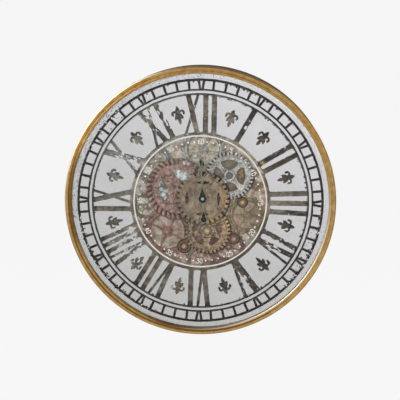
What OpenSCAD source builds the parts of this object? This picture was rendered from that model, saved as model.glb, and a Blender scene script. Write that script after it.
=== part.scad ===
// Gear wall clock: a round drum with a gold front frame, a mirrored numeral ring, a clear middle,
// and gears that turn behind the hands. +Z is up, the dial faces -Y and the wall is the plane Y = 0.
// The origin is the dial's centre on the wall. A "depth" below is a distance out from the wall.

/* [Front frame and drum] */
// Outer radius of the gold front frame
frame_r = 300; // [285:1:330]
// Width of the frame as it is seen from the front
frame_face_w = 15.5; // [14:0.5:20]
// Height that the frame stands in front of the glass
frame_rise = 7; // [5:0.5:9]
// How far the drum's wall stays inside the frame's outer radius
drum_inset = 3.4; // [3:0.1:6]
// Thickness of the sheet that the drum is rolled from
drum_t = 2; // [1.5:0.25:3]
// Thickness of the glass
glass_t = 3; // [2:0.5:4]
// Clear depth between the backdrop board and the glass
display_depth = 45; // [38:1:60]

/* [Numeral ring] */
// Width of the plain mirrored band between the frame and the minute track
mirror_margin = 14.5; // [10:0.5:18]
// Radial height of the minute track, between the middles of its two lines
track_h = 22; // [16:0.5:26]
// Width of the outer line and of the marks of the minute track
track_line_w = 4.8; // [3:0.1:6]
// Distance from the track's inner line to the line over the numerals
ring_gap = 9.4; // [7:0.1:12]
// Radial height of the numerals
numeral_h = 84; // [70:1:95]
// Width of an upright numeral stroke
bar_w = 10.8; // [8:0.2:12]
// Height of a fleur-de-lis
fleur_h = 40; // [30:1:46]
// Height of the small white figures
figure_h = 10; // [6:0.5:11]

/* [Gears on show] */
// Outer radius of the gold gear in the middle
centre_gear_r = 58.5; // [52:0.5:60]
// Outer radius of the silver gear
silver_gear_r = 53; // [46:0.5:56]
// Outer radius of the gold gear at the bottom
lower_gear_r = 52; // [46:0.5:56]
// Outer radius of the fixed copper gear
copper_gear_r = 68.5; // [62:0.5:72]
// Thickness of a gear on show
gear_t = 3; // [2:0.25:3.5]
// Gap between the two layers of turning gears
layer_gap = 2; // [1.5:0.25:3]

/* [Hands] */
// Length of the minute hand from its axis
minute_hand_l = 130; // [110:1:136]
// Length of the hour hand from its axis
hour_hand_l = 88; // [80:1:100]
// Thickness of a hand
hand_t = 1.2; // [0.8:0.1:1.6]

/* [Drive behind the board] */
// Tooth module of the drive wheels
train_module = 1.5; // [1.4:0.05:1.6]
// Thickness of the drive wheels
wheel_t = 5; // [4:0.25:5.5]
// Radius of a gear shaft
shaft_r = 3; // [2.5:0.1:3.5]
// Radius of the threaded tube that the hands' shafts run through
tube_r = 4; // [3.8:0.1:4.4]
// Depth of the quartz movement
movement_d = 17; // [16.5:0.25:17.5]

/* [Back] */
// How far the back cover sits in from the wall
cover_recess = 3; // [2.5:0.25:4]
// Thickness of the back cover
cover_t = 3; // [2:0.25:4]
// Depth between the back cover and the bridge plate
works_depth = 18; // [18:0.5:24]
// Thickness of the bridge plate
bridge_t = 2.5; // [2:0.25:4]
// Length of the pillars between the bridge plate and the board
pillar_l = 10.5; // [10:0.25:14]
// Thickness of the backdrop board
board_t = 3; // [2.5:0.25:5]
// Radius of the keyhole that the wall screw's head enters
key_r = 5; // [4:0.25:6]
// Width of the keyhole's slot
key_slot_w = 5; // [4.5:0.25:6]

/* [Hidden] */
$fn = 96;

// One overrun for every cut, and the clearances that the fits use
over = 1;
run_c = 0.06;
slip_c = 0.2;
free_c = 0.5;

// Where each layer lies, out from the wall
cover_d = cover_recess;
cover_front_d = cover_d + cover_t;
bridge_d = cover_front_d + works_depth;
bridge_front_d = bridge_d + bridge_t;
board_d = bridge_front_d + pillar_l;
board_front_d = board_d + board_t;
gear_rise = 6;
rear_gear_d = board_front_d + gear_rise;
centre_gear_d = rear_gear_d + gear_t + layer_gap;
centre_gear_front_d = centre_gear_d + gear_t;
glass_d = board_front_d + display_depth;
glass_front_d = glass_d + glass_t;
film_t = 0.4;
print_t = 0.2;
gasket_t = 1.6;
drum_front_d = glass_d - film_t - gasket_t;

// Radii of the front, from the frame inwards
sight_r = frame_r - frame_face_w;
glass_lap = 3.5;
glass_r = sight_r + glass_lap;
drum_r = frame_r - drum_inset;
drum_in_r = drum_r - drum_t;
flange_w = 15;
flange_in_r = drum_in_r - flange_w;
track_out_r = sight_r - mirror_margin;
track_in_r = track_out_r - track_h;
numeral_ring_r = track_in_r - ring_gap;
numeral_in_r = numeral_ring_r - numeral_h;
cream_gap = 8;
cream_w = 3.2;
cream_r = numeral_in_r - cream_gap;
figure_gap = 8;
figure_r = cream_r - figure_h / 2 - figure_gap;

// The hands' axis lies a little right of and above the dial's centre
axis_right = 4.5;
axis_up = 2.5;

// Drive wheels: teeth, directions of the shafts round the hands' axis, and centre distances
centre_teeth = 40;
silver_teeth = 64;
lower_teeth = 60;
pinion_teeth = 12;
silver_angle = 41.2;
lower_angle = 278;
motor_angle = 30;
silver_reach = train_module * (centre_teeth + silver_teeth) / 2;
lower_reach = train_module * (centre_teeth + lower_teeth) / 2;
motor_reach = train_module * (silver_teeth + pinion_teeth) / 2;
axis_at = [axis_right, axis_up];
silver_at = axis_at + silver_reach * [cos(silver_angle), sin(silver_angle)];
lower_at = axis_at + lower_reach * [cos(lower_angle), sin(lower_angle)];
motor_at = silver_at + motor_reach * [cos(motor_angle), sin(motor_angle)];
wheel_gap = 2.6;
wheel_d = bridge_front_d + wheel_gap;
wheel_turn = 0;
silver_turn = mesh_turn(silver_angle, wheel_turn, centre_teeth, silver_teeth);
lower_turn = mesh_turn(lower_angle, wheel_turn, centre_teeth, lower_teeth);
pinion_turn = mesh_turn(motor_angle, silver_turn, silver_teeth, pinion_teeth);

// Dome bolts: brass, brass, copper, copper, steel, as shares of the silver gear's distance from the axis
bolt_place_shares = [[1.196, -0.088], [1.762, 1.073], [-0.469, -1.404], [0.965, -1.162], [-0.177, 1.231]];
bolt_places = [for (share = bolt_place_shares) share * silver_reach];
brass_bolts = [bolt_places[0], bolt_places[1]];
copper_bolts = [bolt_places[2], bolt_places[3]];
steel_bolts = [bolt_places[4]];
dome_r = 6.5;
dome_h = 5.5;
washer_r = 16;
washer_t = 1.6;
// Radii of the five washers, as shares of the widest one
washer_shares = [0.76, 0.76, 1, 0.8, 0.36];
stem_r = 2;
pillar_r = 4;

// The fixed copper gear lies on the board
copper_place_share = [-0.688, 0.276];
copper_at = copper_place_share * silver_reach;
copper_t = 2.5;

// Fastener sizes
screw_head_r = 3.2;
screw_head_h = 1.8;
screw_r = 1.45;
screw_past = 1;
slot_w = 0.8;

// Places a flat drawing, seen from the front, at a depth out from the wall
module at_depth(depth) translate([0, -depth, 0]) rotate([90, 0, 0]) children();

// Extrudes a flat drawing towards the viewer
module slab(depth, height) at_depth(depth) linear_extrude(height = height) children();

module disc_ring(outer, inner) difference() {
    circle(r = outer);
    circle(r = inner);
}

module tube_ring(depth, height, outer, inner) slab(depth, height) disc_ring(outer, inner);

module at(place) translate([place[0], place[1]]) children();

module around(count, first = 0) for (i = [0 : count - 1]) rotate(first + i * 360 / count) children();

// A rectangle with its corner rounded, centred
module rounded(w, h, r) {
    square([w - 2 * r, h], center = true);
    square([w, h - 2 * r], center = true);
    for (x = [-1, 1], y = [-1, 1]) translate([x * (w / 2 - r), y * (h / 2 - r)]) circle(r = r);
}

// A lens: what two equal circles have in common
module lens(length, width) {
    r = (length * length + width * width) / (4 * width);
    intersection() {
        translate([0, r - width / 2]) circle(r = r);
        translate([0, width / 2 - r]) circle(r = r);
    }
}

// A pan head screw whose head rests at a depth. Its shank runs on by side: 1 to the front, -1 to the back
module screw(depth, length, side = 1, head = screw_head_r, shank = screw_r) {
    head_d = side > 0 ? depth - screw_head_h : depth;
    shank_d = side > 0 ? depth : depth - length;
    slot_d = side > 0 ? head_d - over : head_d + screw_head_h / 2;
    difference() {
        slab(head_d, screw_head_h) circle(r = head);
        slab(slot_d, over + screw_head_h / 2) {
            square([head * 1.4, slot_w], center = true);
            square([slot_w, head * 1.4], center = true);
        }
    }
    slab(shank_d, length) circle(r = shank);
}

// Moves a piece that is drawn round the Y axis to a place of the front view
module move_to(place) translate([place[0], 0, place[1]]) children();

// Angle that the involute of a base circle has turned through at a radius, in degrees
function involute(base, r) = r <= base ? 0 : sqrt(r * r / (base * base) - 1) * 180 / PI - acos(base / r);

pressure_angle = 20;
// Backlash at the pitch circle, tooth height and root depth, as shares of the module
backlash_share = 0.16;
tip_share = 0.85;
root_share = 1.2;

// Outline of an involute spur wheel
function wheel_outline(m, teeth) =
    let (pitch_r = m * teeth / 2,
        base_r = pitch_r * cos(pressure_angle),
        tip_r = pitch_r + m * tip_share,
        root_r = pitch_r - m * root_share,
        half = 90 / teeth - backlash_share * m / pitch_r * 90 / PI,
        start_r = max(base_r, root_r),
        steps = [0, 0.35, 0.7, 1],
        radii = concat(root_r < base_r ? [root_r] : [], [for (s = steps) start_r + s * (tip_r - start_r)]),
        lean = [for (r = radii) half + involute(base_r, pitch_r) - involute(base_r, r)],
        last = len(radii) - 1)
    [for (i = [0 : teeth - 1], side = [-1, 1], k = [0 : last])
        let (j = side < 0 ? k : last - k, a = i * 360 / teeth + side * lean[j])
        radii[j] * [cos(a), sin(a)]];

// Turn that puts a wheel in mesh with a driver whose own turn is given, along a direction
function mesh_turn(direction, driver_turn, driver_teeth, teeth) =
    direction + 180 + (direction - driver_turn) * driver_teeth / teeth - 180 / teeth;

module wheel(m, teeth, turn = 0) rotate(turn) polygon(wheel_outline(m, teeth));

// A gear on show is a disc with round-bottomed slots in its rim
module slotted_disc(r, teeth, depth, width, slant = 0) difference() {
    circle(r = r);
    around(teeth) translate([r - depth + width / 2, 0]) rotate(slant) {
        circle(r = width / 2);
        translate([0, -width / 2]) square([depth * 1.5, width]);
    }
}

// A window between a circle round the gear's own centre and a circle whose centre lies further out
module gear_windows(count, first, outer, bulge_r, bulge_at) around(count, first) intersection() {
    circle(r = outer);
    translate([bulge_at, 0]) circle(r = bulge_r);
}

// Front frame: a low outer bead, a step up to a higher inner bead, and a skirt over the drum
skirt_c = 0.4;
skirt_t = 2;
skirt_l = 17;
outer_bead_r = 4.5;
outer_bead_up = 0.9;
inner_bead_r = 3;
bead_floor = 4.2;
frame_body_in = 1;
module front_frame() color("goldenrod") difference() {
    at_depth(0) rotate_extrude() {
        translate([drum_r + skirt_c, drum_front_d - skirt_l]) square([skirt_t, skirt_l + over / 2]);
        translate([glass_r + skirt_c, drum_front_d])
            square([frame_r - frame_body_in - glass_r - skirt_c, glass_front_d - drum_front_d]);
        translate([sight_r, glass_front_d]) square([frame_face_w - outer_bead_r, bead_floor]);
        translate([frame_r - outer_bead_r, glass_front_d + outer_bead_up]) circle(r = outer_bead_r);
        translate([sight_r + inner_bead_r, glass_front_d + frame_rise - inner_bead_r])
            circle(r = inner_bead_r);
    }
    frame_screw_spread() cylinder(h = frame_r, r = screw_r + slip_c);
}

// Six small screws go radially through the skirt into the drum
frame_screw_count = 6;
frame_screw_back = 9;
frame_screw_in = 3.5;
frame_head_h = 0.9;
module frame_screw_spread() translate([0, -(drum_front_d - frame_screw_back), 0])
    for (i = [0 : frame_screw_count - 1]) rotate([0, (i + 0.5) * 360 / frame_screw_count, 0]) children();

module frame_screws() color("darkgoldenrod") frame_screw_spread() {
    head_at = drum_r + skirt_c + skirt_t;
    translate([0, 0, head_at - skirt_t - drum_t - frame_screw_in])
        cylinder(h = skirt_t + drum_t + frame_screw_in + over / 2, r = screw_r);
    difference() {
        translate([0, 0, head_at]) cylinder(h = frame_head_h, r = screw_head_r);
        translate([-slot_w / 2, -screw_head_r, head_at + frame_head_h / 2])
            cube([slot_w, 2 * screw_head_r, frame_head_h]);
    }
}

module front_glass() color("lightcyan", 0.3) slab(glass_d, glass_t) circle(r = glass_r);

// Rubber ring between the drum's flange and the coated back of the glass
gasket_w = 8;
module glass_gasket() color("black")
    tube_ring(drum_front_d, gasket_t, glass_r - slip_c, glass_r - slip_c - gasket_w);

// Drum: a rolled wall with tabs for the back cover, and the flange ring that the glass rests on
tab_count = 8;
tab_w = 18;
tab_l = 14;
tab_t = 2;
tab_hole_in = 7;
module drum() color([0.16, 0.14, 0.13]) difference() {
    union() {
        tube_ring(0, drum_front_d, drum_r, drum_in_r);
        slab(cover_front_d, tab_t) around(tab_count, 180 / tab_count)
            translate([drum_in_r - tab_l, -tab_w / 2]) square([tab_l + drum_t / 2, tab_w]);
    }
    slab(cover_front_d - over, tab_t + 2 * over) around(tab_count, 180 / tab_count)
        translate([drum_in_r - tab_hole_in, 0]) circle(r = screw_r);
    frame_screw_spread() translate([0, 0, drum_in_r - over]) cylinder(h = drum_t + 2 * over, r = screw_r);
}

module drum_flange() color([0.16, 0.14, 0.13])
    tube_ring(drum_front_d - drum_t, drum_t, drum_in_r - slip_c, flange_in_r);

// L-shaped brackets carry the backdrop board on the drum's wall
bracket_count = 6;
bracket_w = 20;
bracket_l = 14;
bracket_foot = 16;
bracket_t = 2;
bracket_hole_in = 10;
module board_brackets() color("dimgray") for (i = [0 : bracket_count - 1])
    rotate([0, i * 360 / bracket_count, 0]) difference() {
        slab(board_d - bracket_l, bracket_l) bracket_leg();
        slab(board_d - bracket_l - over, bracket_l - bracket_t + over) bracket_room();
        slab(board_d - bracket_t - over, bracket_t + 2 * over)
            translate([0, drum_in_r - bracket_hole_in]) circle(r = screw_r);
    }

module bracket_leg() intersection() {
    circle(r = drum_in_r - slip_c);
    translate([-bracket_w / 2, drum_in_r - bracket_foot]) square([bracket_w, bracket_foot]);
}

module bracket_room() intersection() {
    circle(r = drum_in_r - bracket_t);
    translate([-bracket_w, drum_in_r - 2 * bracket_foot]) square([2 * bracket_w, 2 * bracket_foot]);
}

// Backdrop board: the printed panel behind the gears
board_gap = 3;
module backdrop_board() color([0.62, 0.56, 0.46]) difference() {
    slab(board_d, board_t) circle(r = drum_in_r - board_gap);
    slab(board_d - over, board_t + 2 * over) {
        at(axis_at) circle(r = sleeve_r + free_c);
        at(silver_at) circle(r = bush_r);
        at(lower_at) circle(r = bush_r);
        for (place = bolt_places) at(place) circle(r = stem_r + slip_c);
        around(bracket_count, 90) translate([drum_in_r - bracket_hole_in, 0]) circle(r = screw_r + slip_c);
    }
}

module board_screws() color("gray") for (i = [0 : bracket_count - 1])
    rotate([0, i * 360 / bracket_count, 0]) move_to([0, drum_in_r - bracket_hole_in])
        screw(board_front_d, board_t + bracket_t, -1);

// A domed bolt with its stem in a pillar
module dome_bolt() {
    round_r = (dome_r * dome_r + dome_h * dome_h) / (2 * dome_h);
    at_depth(board_front_d + washer_t) rotate_extrude() intersection() {
        translate([0, dome_h - round_r]) circle(r = round_r);
        square([dome_r, dome_h]);
    }
    slab(board_front_d + washer_t - stem_l, stem_l) circle(r = stem_r);
}

stem_in = 5;
stem_l = washer_t + board_t + stem_in;
module brass_dome_bolts() color("gold") for (place = brass_bolts) move_to(place) dome_bolt();
module copper_dome_bolts() color([0.75, 0.4, 0.28]) for (place = copper_bolts) move_to(place) dome_bolt();
module steel_dome_bolt() color("lightgray") for (place = steel_bolts) move_to(place) dome_bolt();

module bolt_washers() color([0.08, 0.08, 0.08]) for (i = [0 : len(bolt_places) - 1]) move_to(bolt_places[i])
    tube_ring(board_front_d, washer_t, washer_r * washer_shares[i], stem_r + slip_c);

// Pillars join the bridge plate to the board: a domed bolt in front, a screw behind
module bridge_pillars() color("silver") for (place = bolt_places) move_to(place) difference() {
    slab(bridge_front_d, pillar_l) circle(r = pillar_r);
    slab(board_d - stem_l + washer_t + board_t, stem_l) circle(r = stem_r);
    slab(bridge_front_d - over, bridge_screw_l - bridge_t + over + free_c) circle(r = screw_r);
}

bridge_screw_l = 6.5;
module bridge_screws() color("gray") for (place = bolt_places) move_to(place)
    screw(bridge_d, bridge_screw_l);

// Bridge plate: carries the movement, the gear shafts, the motor, the switch and the batteries
bridge_margin = 12.5;
bridge_low = [for (k = [0, 1]) min([for (place = bolt_places) place[k]]) - bridge_margin];
bridge_high = [for (k = [0, 1]) max([for (place = bolt_places) place[k]]) + bridge_margin];
bridge_corner_r = 10;
module bridge_plate() color("lightsteelblue") difference() {
    slab(bridge_d, bridge_t) translate((bridge_low + bridge_high) / 2)
        rounded(bridge_high[0] - bridge_low[0], bridge_high[1] - bridge_low[1], bridge_corner_r);
    slab(bridge_d - over, bridge_t + 2 * over) {
        at(axis_at) circle(r = tube_r + slip_c);
        at(silver_at) circle(r = bush_r);
        at(lower_at) circle(r = bush_r);
        at(motor_at) circle(r = motor_boss_r + slip_c);
        for (place = bolt_places) at(place) circle(r = screw_r + slip_c);
        for (side = [-1, 1]) at(motor_at) translate([0, side * motor_ear_at]) circle(r = screw_r);
    }
}

// Flanged bushes for the two gear shafts, in the bridge plate and in the board
bush_r = 5;
bush_flange_r = 6.5;
bush_flange_t = 1;
module shaft_bush(plate_d, plate_t) difference() {
    union() {
        slab(plate_d, plate_t) circle(r = bush_r);
        slab(plate_d + plate_t, bush_flange_t) circle(r = bush_flange_r);
    }
    slab(plate_d - over, plate_t + bush_flange_t + 2 * over) circle(r = shaft_r + run_c);
}

module shaft_bushes() color("peru") for (place = [silver_at, lower_at]) move_to(place) {
    shaft_bush(bridge_d, bridge_t);
    shaft_bush(board_d, board_t);
}

// Fixed copper gear on the board, cut away round the centre sleeve
copper_teeth = 36;
copper_slot_d = 13;
copper_slot_w = 4.8;
copper_slant = 20;
copper_turn = 5;
copper_room = 3;
copper_window_first = 62;
copper_window_r = 42.6;
copper_bulge_r = 33.5;
copper_bulge_at = 54.5;
module copper_gear() color([0.66, 0.38, 0.3]) slab(board_front_d, copper_t) difference() {
    at(copper_at) rotate(copper_turn) difference() {
        slotted_disc(copper_gear_r, copper_teeth, copper_slot_d, copper_slot_w, copper_slant);
        gear_windows(3, copper_window_first, copper_window_r, copper_bulge_r, copper_bulge_at);
        circle(r = shaft_r);
    }
    at(axis_at) circle(r = sleeve_r + copper_room);
}

// Quartz movement: a square case with an open battery bay at the bottom and a lid over the works
case_t = 1.2;
case_washer_t = 0.8;
case_washer_w = 5;
movement_back_d = bridge_d - case_washer_t - movement_d;
case_front_d = bridge_d - case_washer_t;
cell_r = 7.1;
cell_l = 50.5;
cell_play = 2.3;
contact_t = 0.4;
movement_w = cell_l + cell_play + 2 * contact_t + 2 * case_t;
bay_h = 2 * cell_r + 1.4;
movement_corner_r = 3;
works_low = case_t + bay_h + case_t;
post_r = 0.7;
motion_room = 5.5;
motion_module = 0.4;
cannon_teeth = 10;
minute_wheel_teeth = 30;
minute_pinion_teeth = 8;
hour_teeth = 32;
knob_teeth = 10;
motion_angle = 45;
motion_reach = motion_module * (cannon_teeth + minute_wheel_teeth) / 2;
knob_reach = motion_module * (minute_wheel_teeth + knob_teeth) / 2;
minute_wheel_at = motion_reach * [cos(motion_angle), sin(motion_angle)];
knob_at = minute_wheel_at + knob_reach * [cos(motion_angle), sin(motion_angle)];
module movement_case() color([0.1, 0.1, 0.11]) move_to(axis_at) {
    difference() {
        slab(movement_back_d, movement_d) rounded(movement_w, movement_w, movement_corner_r);
        slab(movement_back_d - over, movement_d - case_t + over) {
            translate([-movement_w / 2 + case_t, -movement_w / 2 + case_t])
                square([movement_w - 2 * case_t, bay_h]);
            translate([-movement_w / 2 + case_t, -movement_w / 2 + works_low])
                square([movement_w - 2 * case_t, movement_w - works_low - case_t]);
        }
        slab(case_front_d - case_t - over, case_t + 2 * over) circle(r = tube_in_r + over / 2);
    }
    slab(case_front_d - case_t - motion_room, motion_room) at(minute_wheel_at) circle(r = post_r);
}

// Lid over the works, with a post that the minute arbor's end turns in
lid_t = 1.2;
lid_post_r = 2.4;
arbor_r = 1;
arbor_back = 6;
knob_stem_r = 1.5;
module movement_lid() color([0.2, 0.2, 0.22]) move_to(axis_at) difference() {
    union() {
        slab(movement_back_d - lid_t, lid_t) translate([-movement_w / 2, -movement_w / 2 + works_low - case_t])
            square([movement_w, movement_w - works_low + case_t]);
        slab(movement_back_d - lid_t / 2, arbor_back + lid_t / 2) circle(r = lid_post_r);
    }
    slab(movement_back_d + arbor_back - 2 * arbor_r, 2 * arbor_r + over) circle(r = arbor_r + run_c);
    slab(movement_back_d - lid_t - over, lid_t + 2 * over) at(knob_at) circle(r = knob_stem_r + run_c);
}

module movement_washer() color("black") move_to(axis_at)
    tube_ring(case_front_d, case_washer_t, tube_r + case_washer_w, tube_r + slip_c);

// Threaded tube: its foot is held in the case, and it carries the centre sleeve and both nuts
tube_in_r = 2.6;
nut_t = 2;
nut_r = 7;
tube_front_d = centre_gear_front_d + slip_c + nut_t;
module centre_tube() color("darkgoldenrod") move_to(axis_at)
    tube_ring(case_front_d, tube_front_d - case_front_d, tube_r, tube_in_r);

module hex_nut(depth) slab(depth, nut_t) difference() {
    circle(r = nut_r, $fn = 6);
    circle(r = tube_r);
}

module fixing_nut() color("gold") move_to(axis_at) hex_nut(bridge_front_d);
module end_nut() color("gold") move_to(axis_at) hex_nut(centre_gear_front_d + slip_c);

// Electronics of the movement
pcb_w = 17;
pcb_h = 20;
pcb_t = 1;
pcb_at = [-movement_w / 2 + case_t + pcb_w / 2 + free_c, movement_w / 2 - case_t - pcb_h / 2 - free_c];
chip_w = 4;
crystal_r = 1;
crystal_l = 6;
module circuit_board() color("seagreen") move_to(axis_at + pcb_at) {
    slab(case_front_d - case_t - pcb_t, pcb_t) square([pcb_w, pcb_h], center = true);
    slab(case_front_d - case_t - 2 * pcb_t, pcb_t) translate([0, -pcb_h / 4])
        square([chip_w, chip_w], center = true);
    slab(case_front_d - case_t - pcb_t - crystal_l, crystal_l) translate([pcb_w / 4, -pcb_h / 4])
        circle(r = crystal_r);
}

coil_r = 3;
coil_l = 13;
coil_end_t = 1;
module drive_coil() color("chocolate") move_to(axis_at + pcb_at + [0, pcb_h / 4])
    translate([-coil_l / 2, -(case_front_d - case_t - pcb_t - coil_r), 0]) rotate([0, 90, 0]) {
        cylinder(h = coil_l, r = coil_r - coil_end_t / 2);
        for (end = [0, coil_l - coil_end_t]) translate([-coil_r, -coil_r, end])
            cube([2 * coil_r, 2 * coil_r, coil_end_t]);
    }

// A round cell lying along X, with its contact button at the right
button_r = 2.7;
button_l = 1;
module aa_cell(depth) translate([-cell_l / 2, -depth, 0]) rotate([0, 90, 0]) {
    cylinder(h = cell_l - button_l, r = cell_r);
    cylinder(h = cell_l, r = button_r);
}

// Contact plates at both ends of a cell
contact_w = 9;
module cell_contacts(depth, room) for (side = [-1, 1])
    translate([side * (room / 2 - contact_t / 2), -depth, 0])
        cube([contact_t, contact_w, contact_w], center = true);

bay_at = [0, -movement_w / 2 + case_t + bay_h / 2];
cell_d = case_front_d - case_t - cell_r - slip_c;
module movement_cell() color("olivedrab") move_to(axis_at + bay_at) aa_cell(cell_d);
module movement_contacts() color("silver") move_to(axis_at + bay_at)
    cell_contacts(cell_d, movement_w - 2 * case_t);

// Gear motor for the gears on show, held by two ears
motor_r = 12;
motor_l = 14;
motor_ear_at = 15.5;
motor_ear_r = 4;
motor_ear_t = 1.2;
motor_boss_r = 4;
motor_shaft_r = 1.5;
module drive_motor() color("darkgray") move_to(motor_at) difference() {
    union() {
        slab(bridge_d - motor_l, motor_l) circle(r = motor_r);
        slab(bridge_d - motor_ear_t, motor_ear_t) for (side = [-1, 1]) {
            translate([0, side * motor_ear_at]) circle(r = motor_ear_r);
            translate([0, side * motor_ear_at / 2]) square([2 * motor_ear_r, motor_ear_at], center = true);
        }
        slab(bridge_d - over / 2, bridge_t + over / 2) circle(r = motor_boss_r);
    }
    slab(bridge_d - motor_l / 2, motor_l) circle(r = motor_shaft_r + run_c);
    slab(bridge_d - motor_ear_t - over, motor_ear_t + 2 * over) for (side = [-1, 1])
        translate([0, side * motor_ear_at]) circle(r = screw_r);
}

module motor_screws() color("gray") for (side = [-1, 1]) move_to(motor_at + [0, side * motor_ear_at])
    screw(bridge_d - motor_ear_t, motor_ear_t + bridge_t);

// Battery box for the motor: two cells side by side, open at the back
box_right = 3;
box_under = 37;
box_at = bolt_places[0] + [box_right, -box_under];
box_wall = 1.2;
box_w = cell_l + 2 * contact_t + 2 * box_wall + free_c;
box_h = 4 * cell_r + 2 * box_wall + 2 * free_c;
box_d = 2 * cell_r + box_wall + slip_c;
cell_row = cell_r + slip_c;
module battery_box() color([0.12, 0.12, 0.13]) move_to(box_at) difference() {
    slab(bridge_d - box_d, box_d) square([box_w, box_h], center = true);
    slab(bridge_d - box_d - over, box_d - box_wall + over)
        square([box_w - 2 * box_wall, box_h - 2 * box_wall], center = true);
}

box_cell_d = bridge_d - box_wall - cell_r - slip_c / 2;
module motor_cells() color("olivedrab") for (side = [-1, 1]) move_to(box_at + [0, side * cell_row])
    rotate([0, side > 0 ? 0 : 180, 0]) aa_cell(box_cell_d);
module battery_contacts() color("silver") for (side = [-1, 1]) move_to(box_at + [0, side * cell_row])
    cell_contacts(box_cell_d, box_w - 2 * box_wall);

// Slide switch: a body with a slot, and a slider that travels along X
switch_gap = 7;
switch_at = box_at + [0, box_h / 2 + switch_gap];
switch_w = 20;
switch_h = 8;
switch_d = 9;
slider_w = 5;
slider_travel = 4;
slider_rise = 4;
slider_depth = 3;
module switch_body() color([0.15, 0.15, 0.16]) move_to(switch_at) difference() {
    slab(bridge_d - switch_d, switch_d) square([switch_w, switch_h], center = true);
    slab(bridge_d - switch_d - over, slider_depth + over)
        square([slider_w + slider_travel + 2 * free_c, switch_h / 2 + 2 * free_c], center = true);
}

module switch_slider() color("white") move_to(switch_at - [slider_travel / 2, 0])
    slab(bridge_d - switch_d - slider_rise, slider_rise + slider_depth)
        square([slider_w, switch_h / 2], center = true);

// Leads: thin tubes along curves between the battery box, the switch and the motor
lead_r = 0.8;
lead_sides = 8;
lead_steps = 12;
lead_d = bridge_d - 4 * lead_r;
function curve(a, b, c, d) = [for (i = [0 : lead_steps]) let (t = i / lead_steps, s = 1 - t)
    s * s * s * a + 3 * s * s * t * b + 3 * s * t * t * c + t * t * t * d];
function unit(v) = v / norm(v);
function lead_ring(path, i) =
    let (last = len(path) - 1,
        t = unit(path[min(i + 1, last)] - path[max(i - 1, 0)]),
        u = unit(cross(t, [0, 1, 0])),
        v = cross(t, u))
    [for (k = [0 : lead_sides - 1]) path[i] + lead_r * (cos(k * 360 / lead_sides) * u
        + sin(k * 360 / lead_sides) * v)];
module lead(a, b, c, d) {
    path = curve(a, b, c, d);
    last = len(path) - 1;
    points = [for (i = [0 : last]) each lead_ring(path, i)];
    wall = [for (i = [0 : last - 1], k = [0 : lead_sides - 1], half = [0, 1])
        let (a0 = i * lead_sides + k, a1 = i * lead_sides + (k + 1) % lead_sides)
        half == 0 ? [a0, a1 + lead_sides, a1] : [a0, a0 + lead_sides, a1 + lead_sides]];
    caps = [[for (k = [0 : lead_sides - 1]) k],
        [for (k = [lead_sides - 1 : -1 : 0]) last * lead_sides + k]];
    polyhedron(points = points, faces = concat(wall, caps));
}

function in_works(place) = [place[0], -lead_d, place[1]];
lead_reach = 9;
box_side = box_at + [box_w / 2 + slip_c, 0];
switch_side = switch_at + [switch_w / 2 + slip_c, 0];
lead_turns = [205, 235];
function motor_side(turn, out = 0) = motor_at + (motor_r + slip_c + out) * [cos(turn), sin(turn)];
module motor_lead(start, way, turn) lead(in_works(start), in_works(start + way),
    in_works(motor_side(turn, lead_reach)), in_works(motor_side(turn)));
module motor_leads() color("firebrick") {
    way = [lead_reach, 0];
    low = switch_side - [0, switch_h / 4];
    box_top = [low[0] + lead_reach, box_at[1] + box_h / 2 + slip_c];
    lead(in_works(box_top), in_works([box_top[0], low[1]]), in_works(low + way / 2), in_works(low));
    motor_lead(switch_side + [0, switch_h / 4], way, lead_turns[0]);
    motor_lead(box_side - [0, cell_r], 3 * way, lead_turns[1]);
}

// Back cover: a board with openings behind the movement, the batteries and the keyhole
cover_gap = 1;
open_margin = 3;
access_low = box_at[1] - box_h / 2 - open_margin;
access_high = switch_at[1] + switch_h / 2 + open_margin;
key_in = 42;
key_at = drum_in_r - key_in;
key_slot_l = 12;
key_room_w = 24;
key_room_h = 34;
module back_cover() color([0.24, 0.19, 0.15]) difference() {
    slab(cover_d, cover_t) circle(r = drum_in_r - cover_gap);
    slab(cover_d - over, cover_t + 2 * over) {
        at(axis_at) square(movement_w + 2 * open_margin, center = true);
        translate([box_at[0] - box_w / 2 - open_margin, access_low])
            square([box_w + 2 * open_margin, access_high - access_low]);
        translate([0, key_at + key_slot_l / 2]) square([key_room_w, key_room_h], center = true);
        around(tab_count, 180 / tab_count) translate([drum_in_r - tab_hole_in, 0]) circle(r = screw_r + slip_c);
        hanger_holes() circle(r = screw_r);
    }
}

module cover_screws() color("gray") for (i = [0 : tab_count - 1])
    rotate([0, (i + 0.5) * 360 / tab_count, 0]) move_to([0, drum_in_r - tab_hole_in])
        screw(cover_d, cover_t + tab_t + screw_past);

// Keyhole plate on the cover's back
hanger_w = 60;
hanger_h = 44;
hanger_t = 1.2;
hanger_corner_r = 4;
hanger_hole_at = 22;
module hanger_holes() translate([0, key_at + key_slot_l / 2]) for (x = [-1, 1], y = [-0.6, 0.6])
    translate([x * hanger_hole_at, y * hanger_hole_at]) children();

module hanger_plate() color("silver") difference() {
    slab(cover_d - hanger_t, hanger_t) translate([0, key_at + key_slot_l / 2])
        rounded(hanger_w, hanger_h, hanger_corner_r);
    slab(cover_d - hanger_t - over, hanger_t + 2 * over) {
        translate([0, key_at]) circle(r = key_r);
        translate([-key_slot_w / 2, key_at]) square([key_slot_w, key_slot_l]);
        translate([0, key_at + key_slot_l]) circle(r = key_slot_w / 2);
        hanger_holes() circle(r = screw_r + slip_c);
    }
}

module hanger_screws() color("gray") for (x = [-1, 1], y = [-0.6, 0.6])
    move_to([x * hanger_hole_at, key_at + key_slot_l / 2 + y * hanger_hole_at])
        screw(cover_d - hanger_t, cover_t + hanger_t + screw_past);

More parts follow.
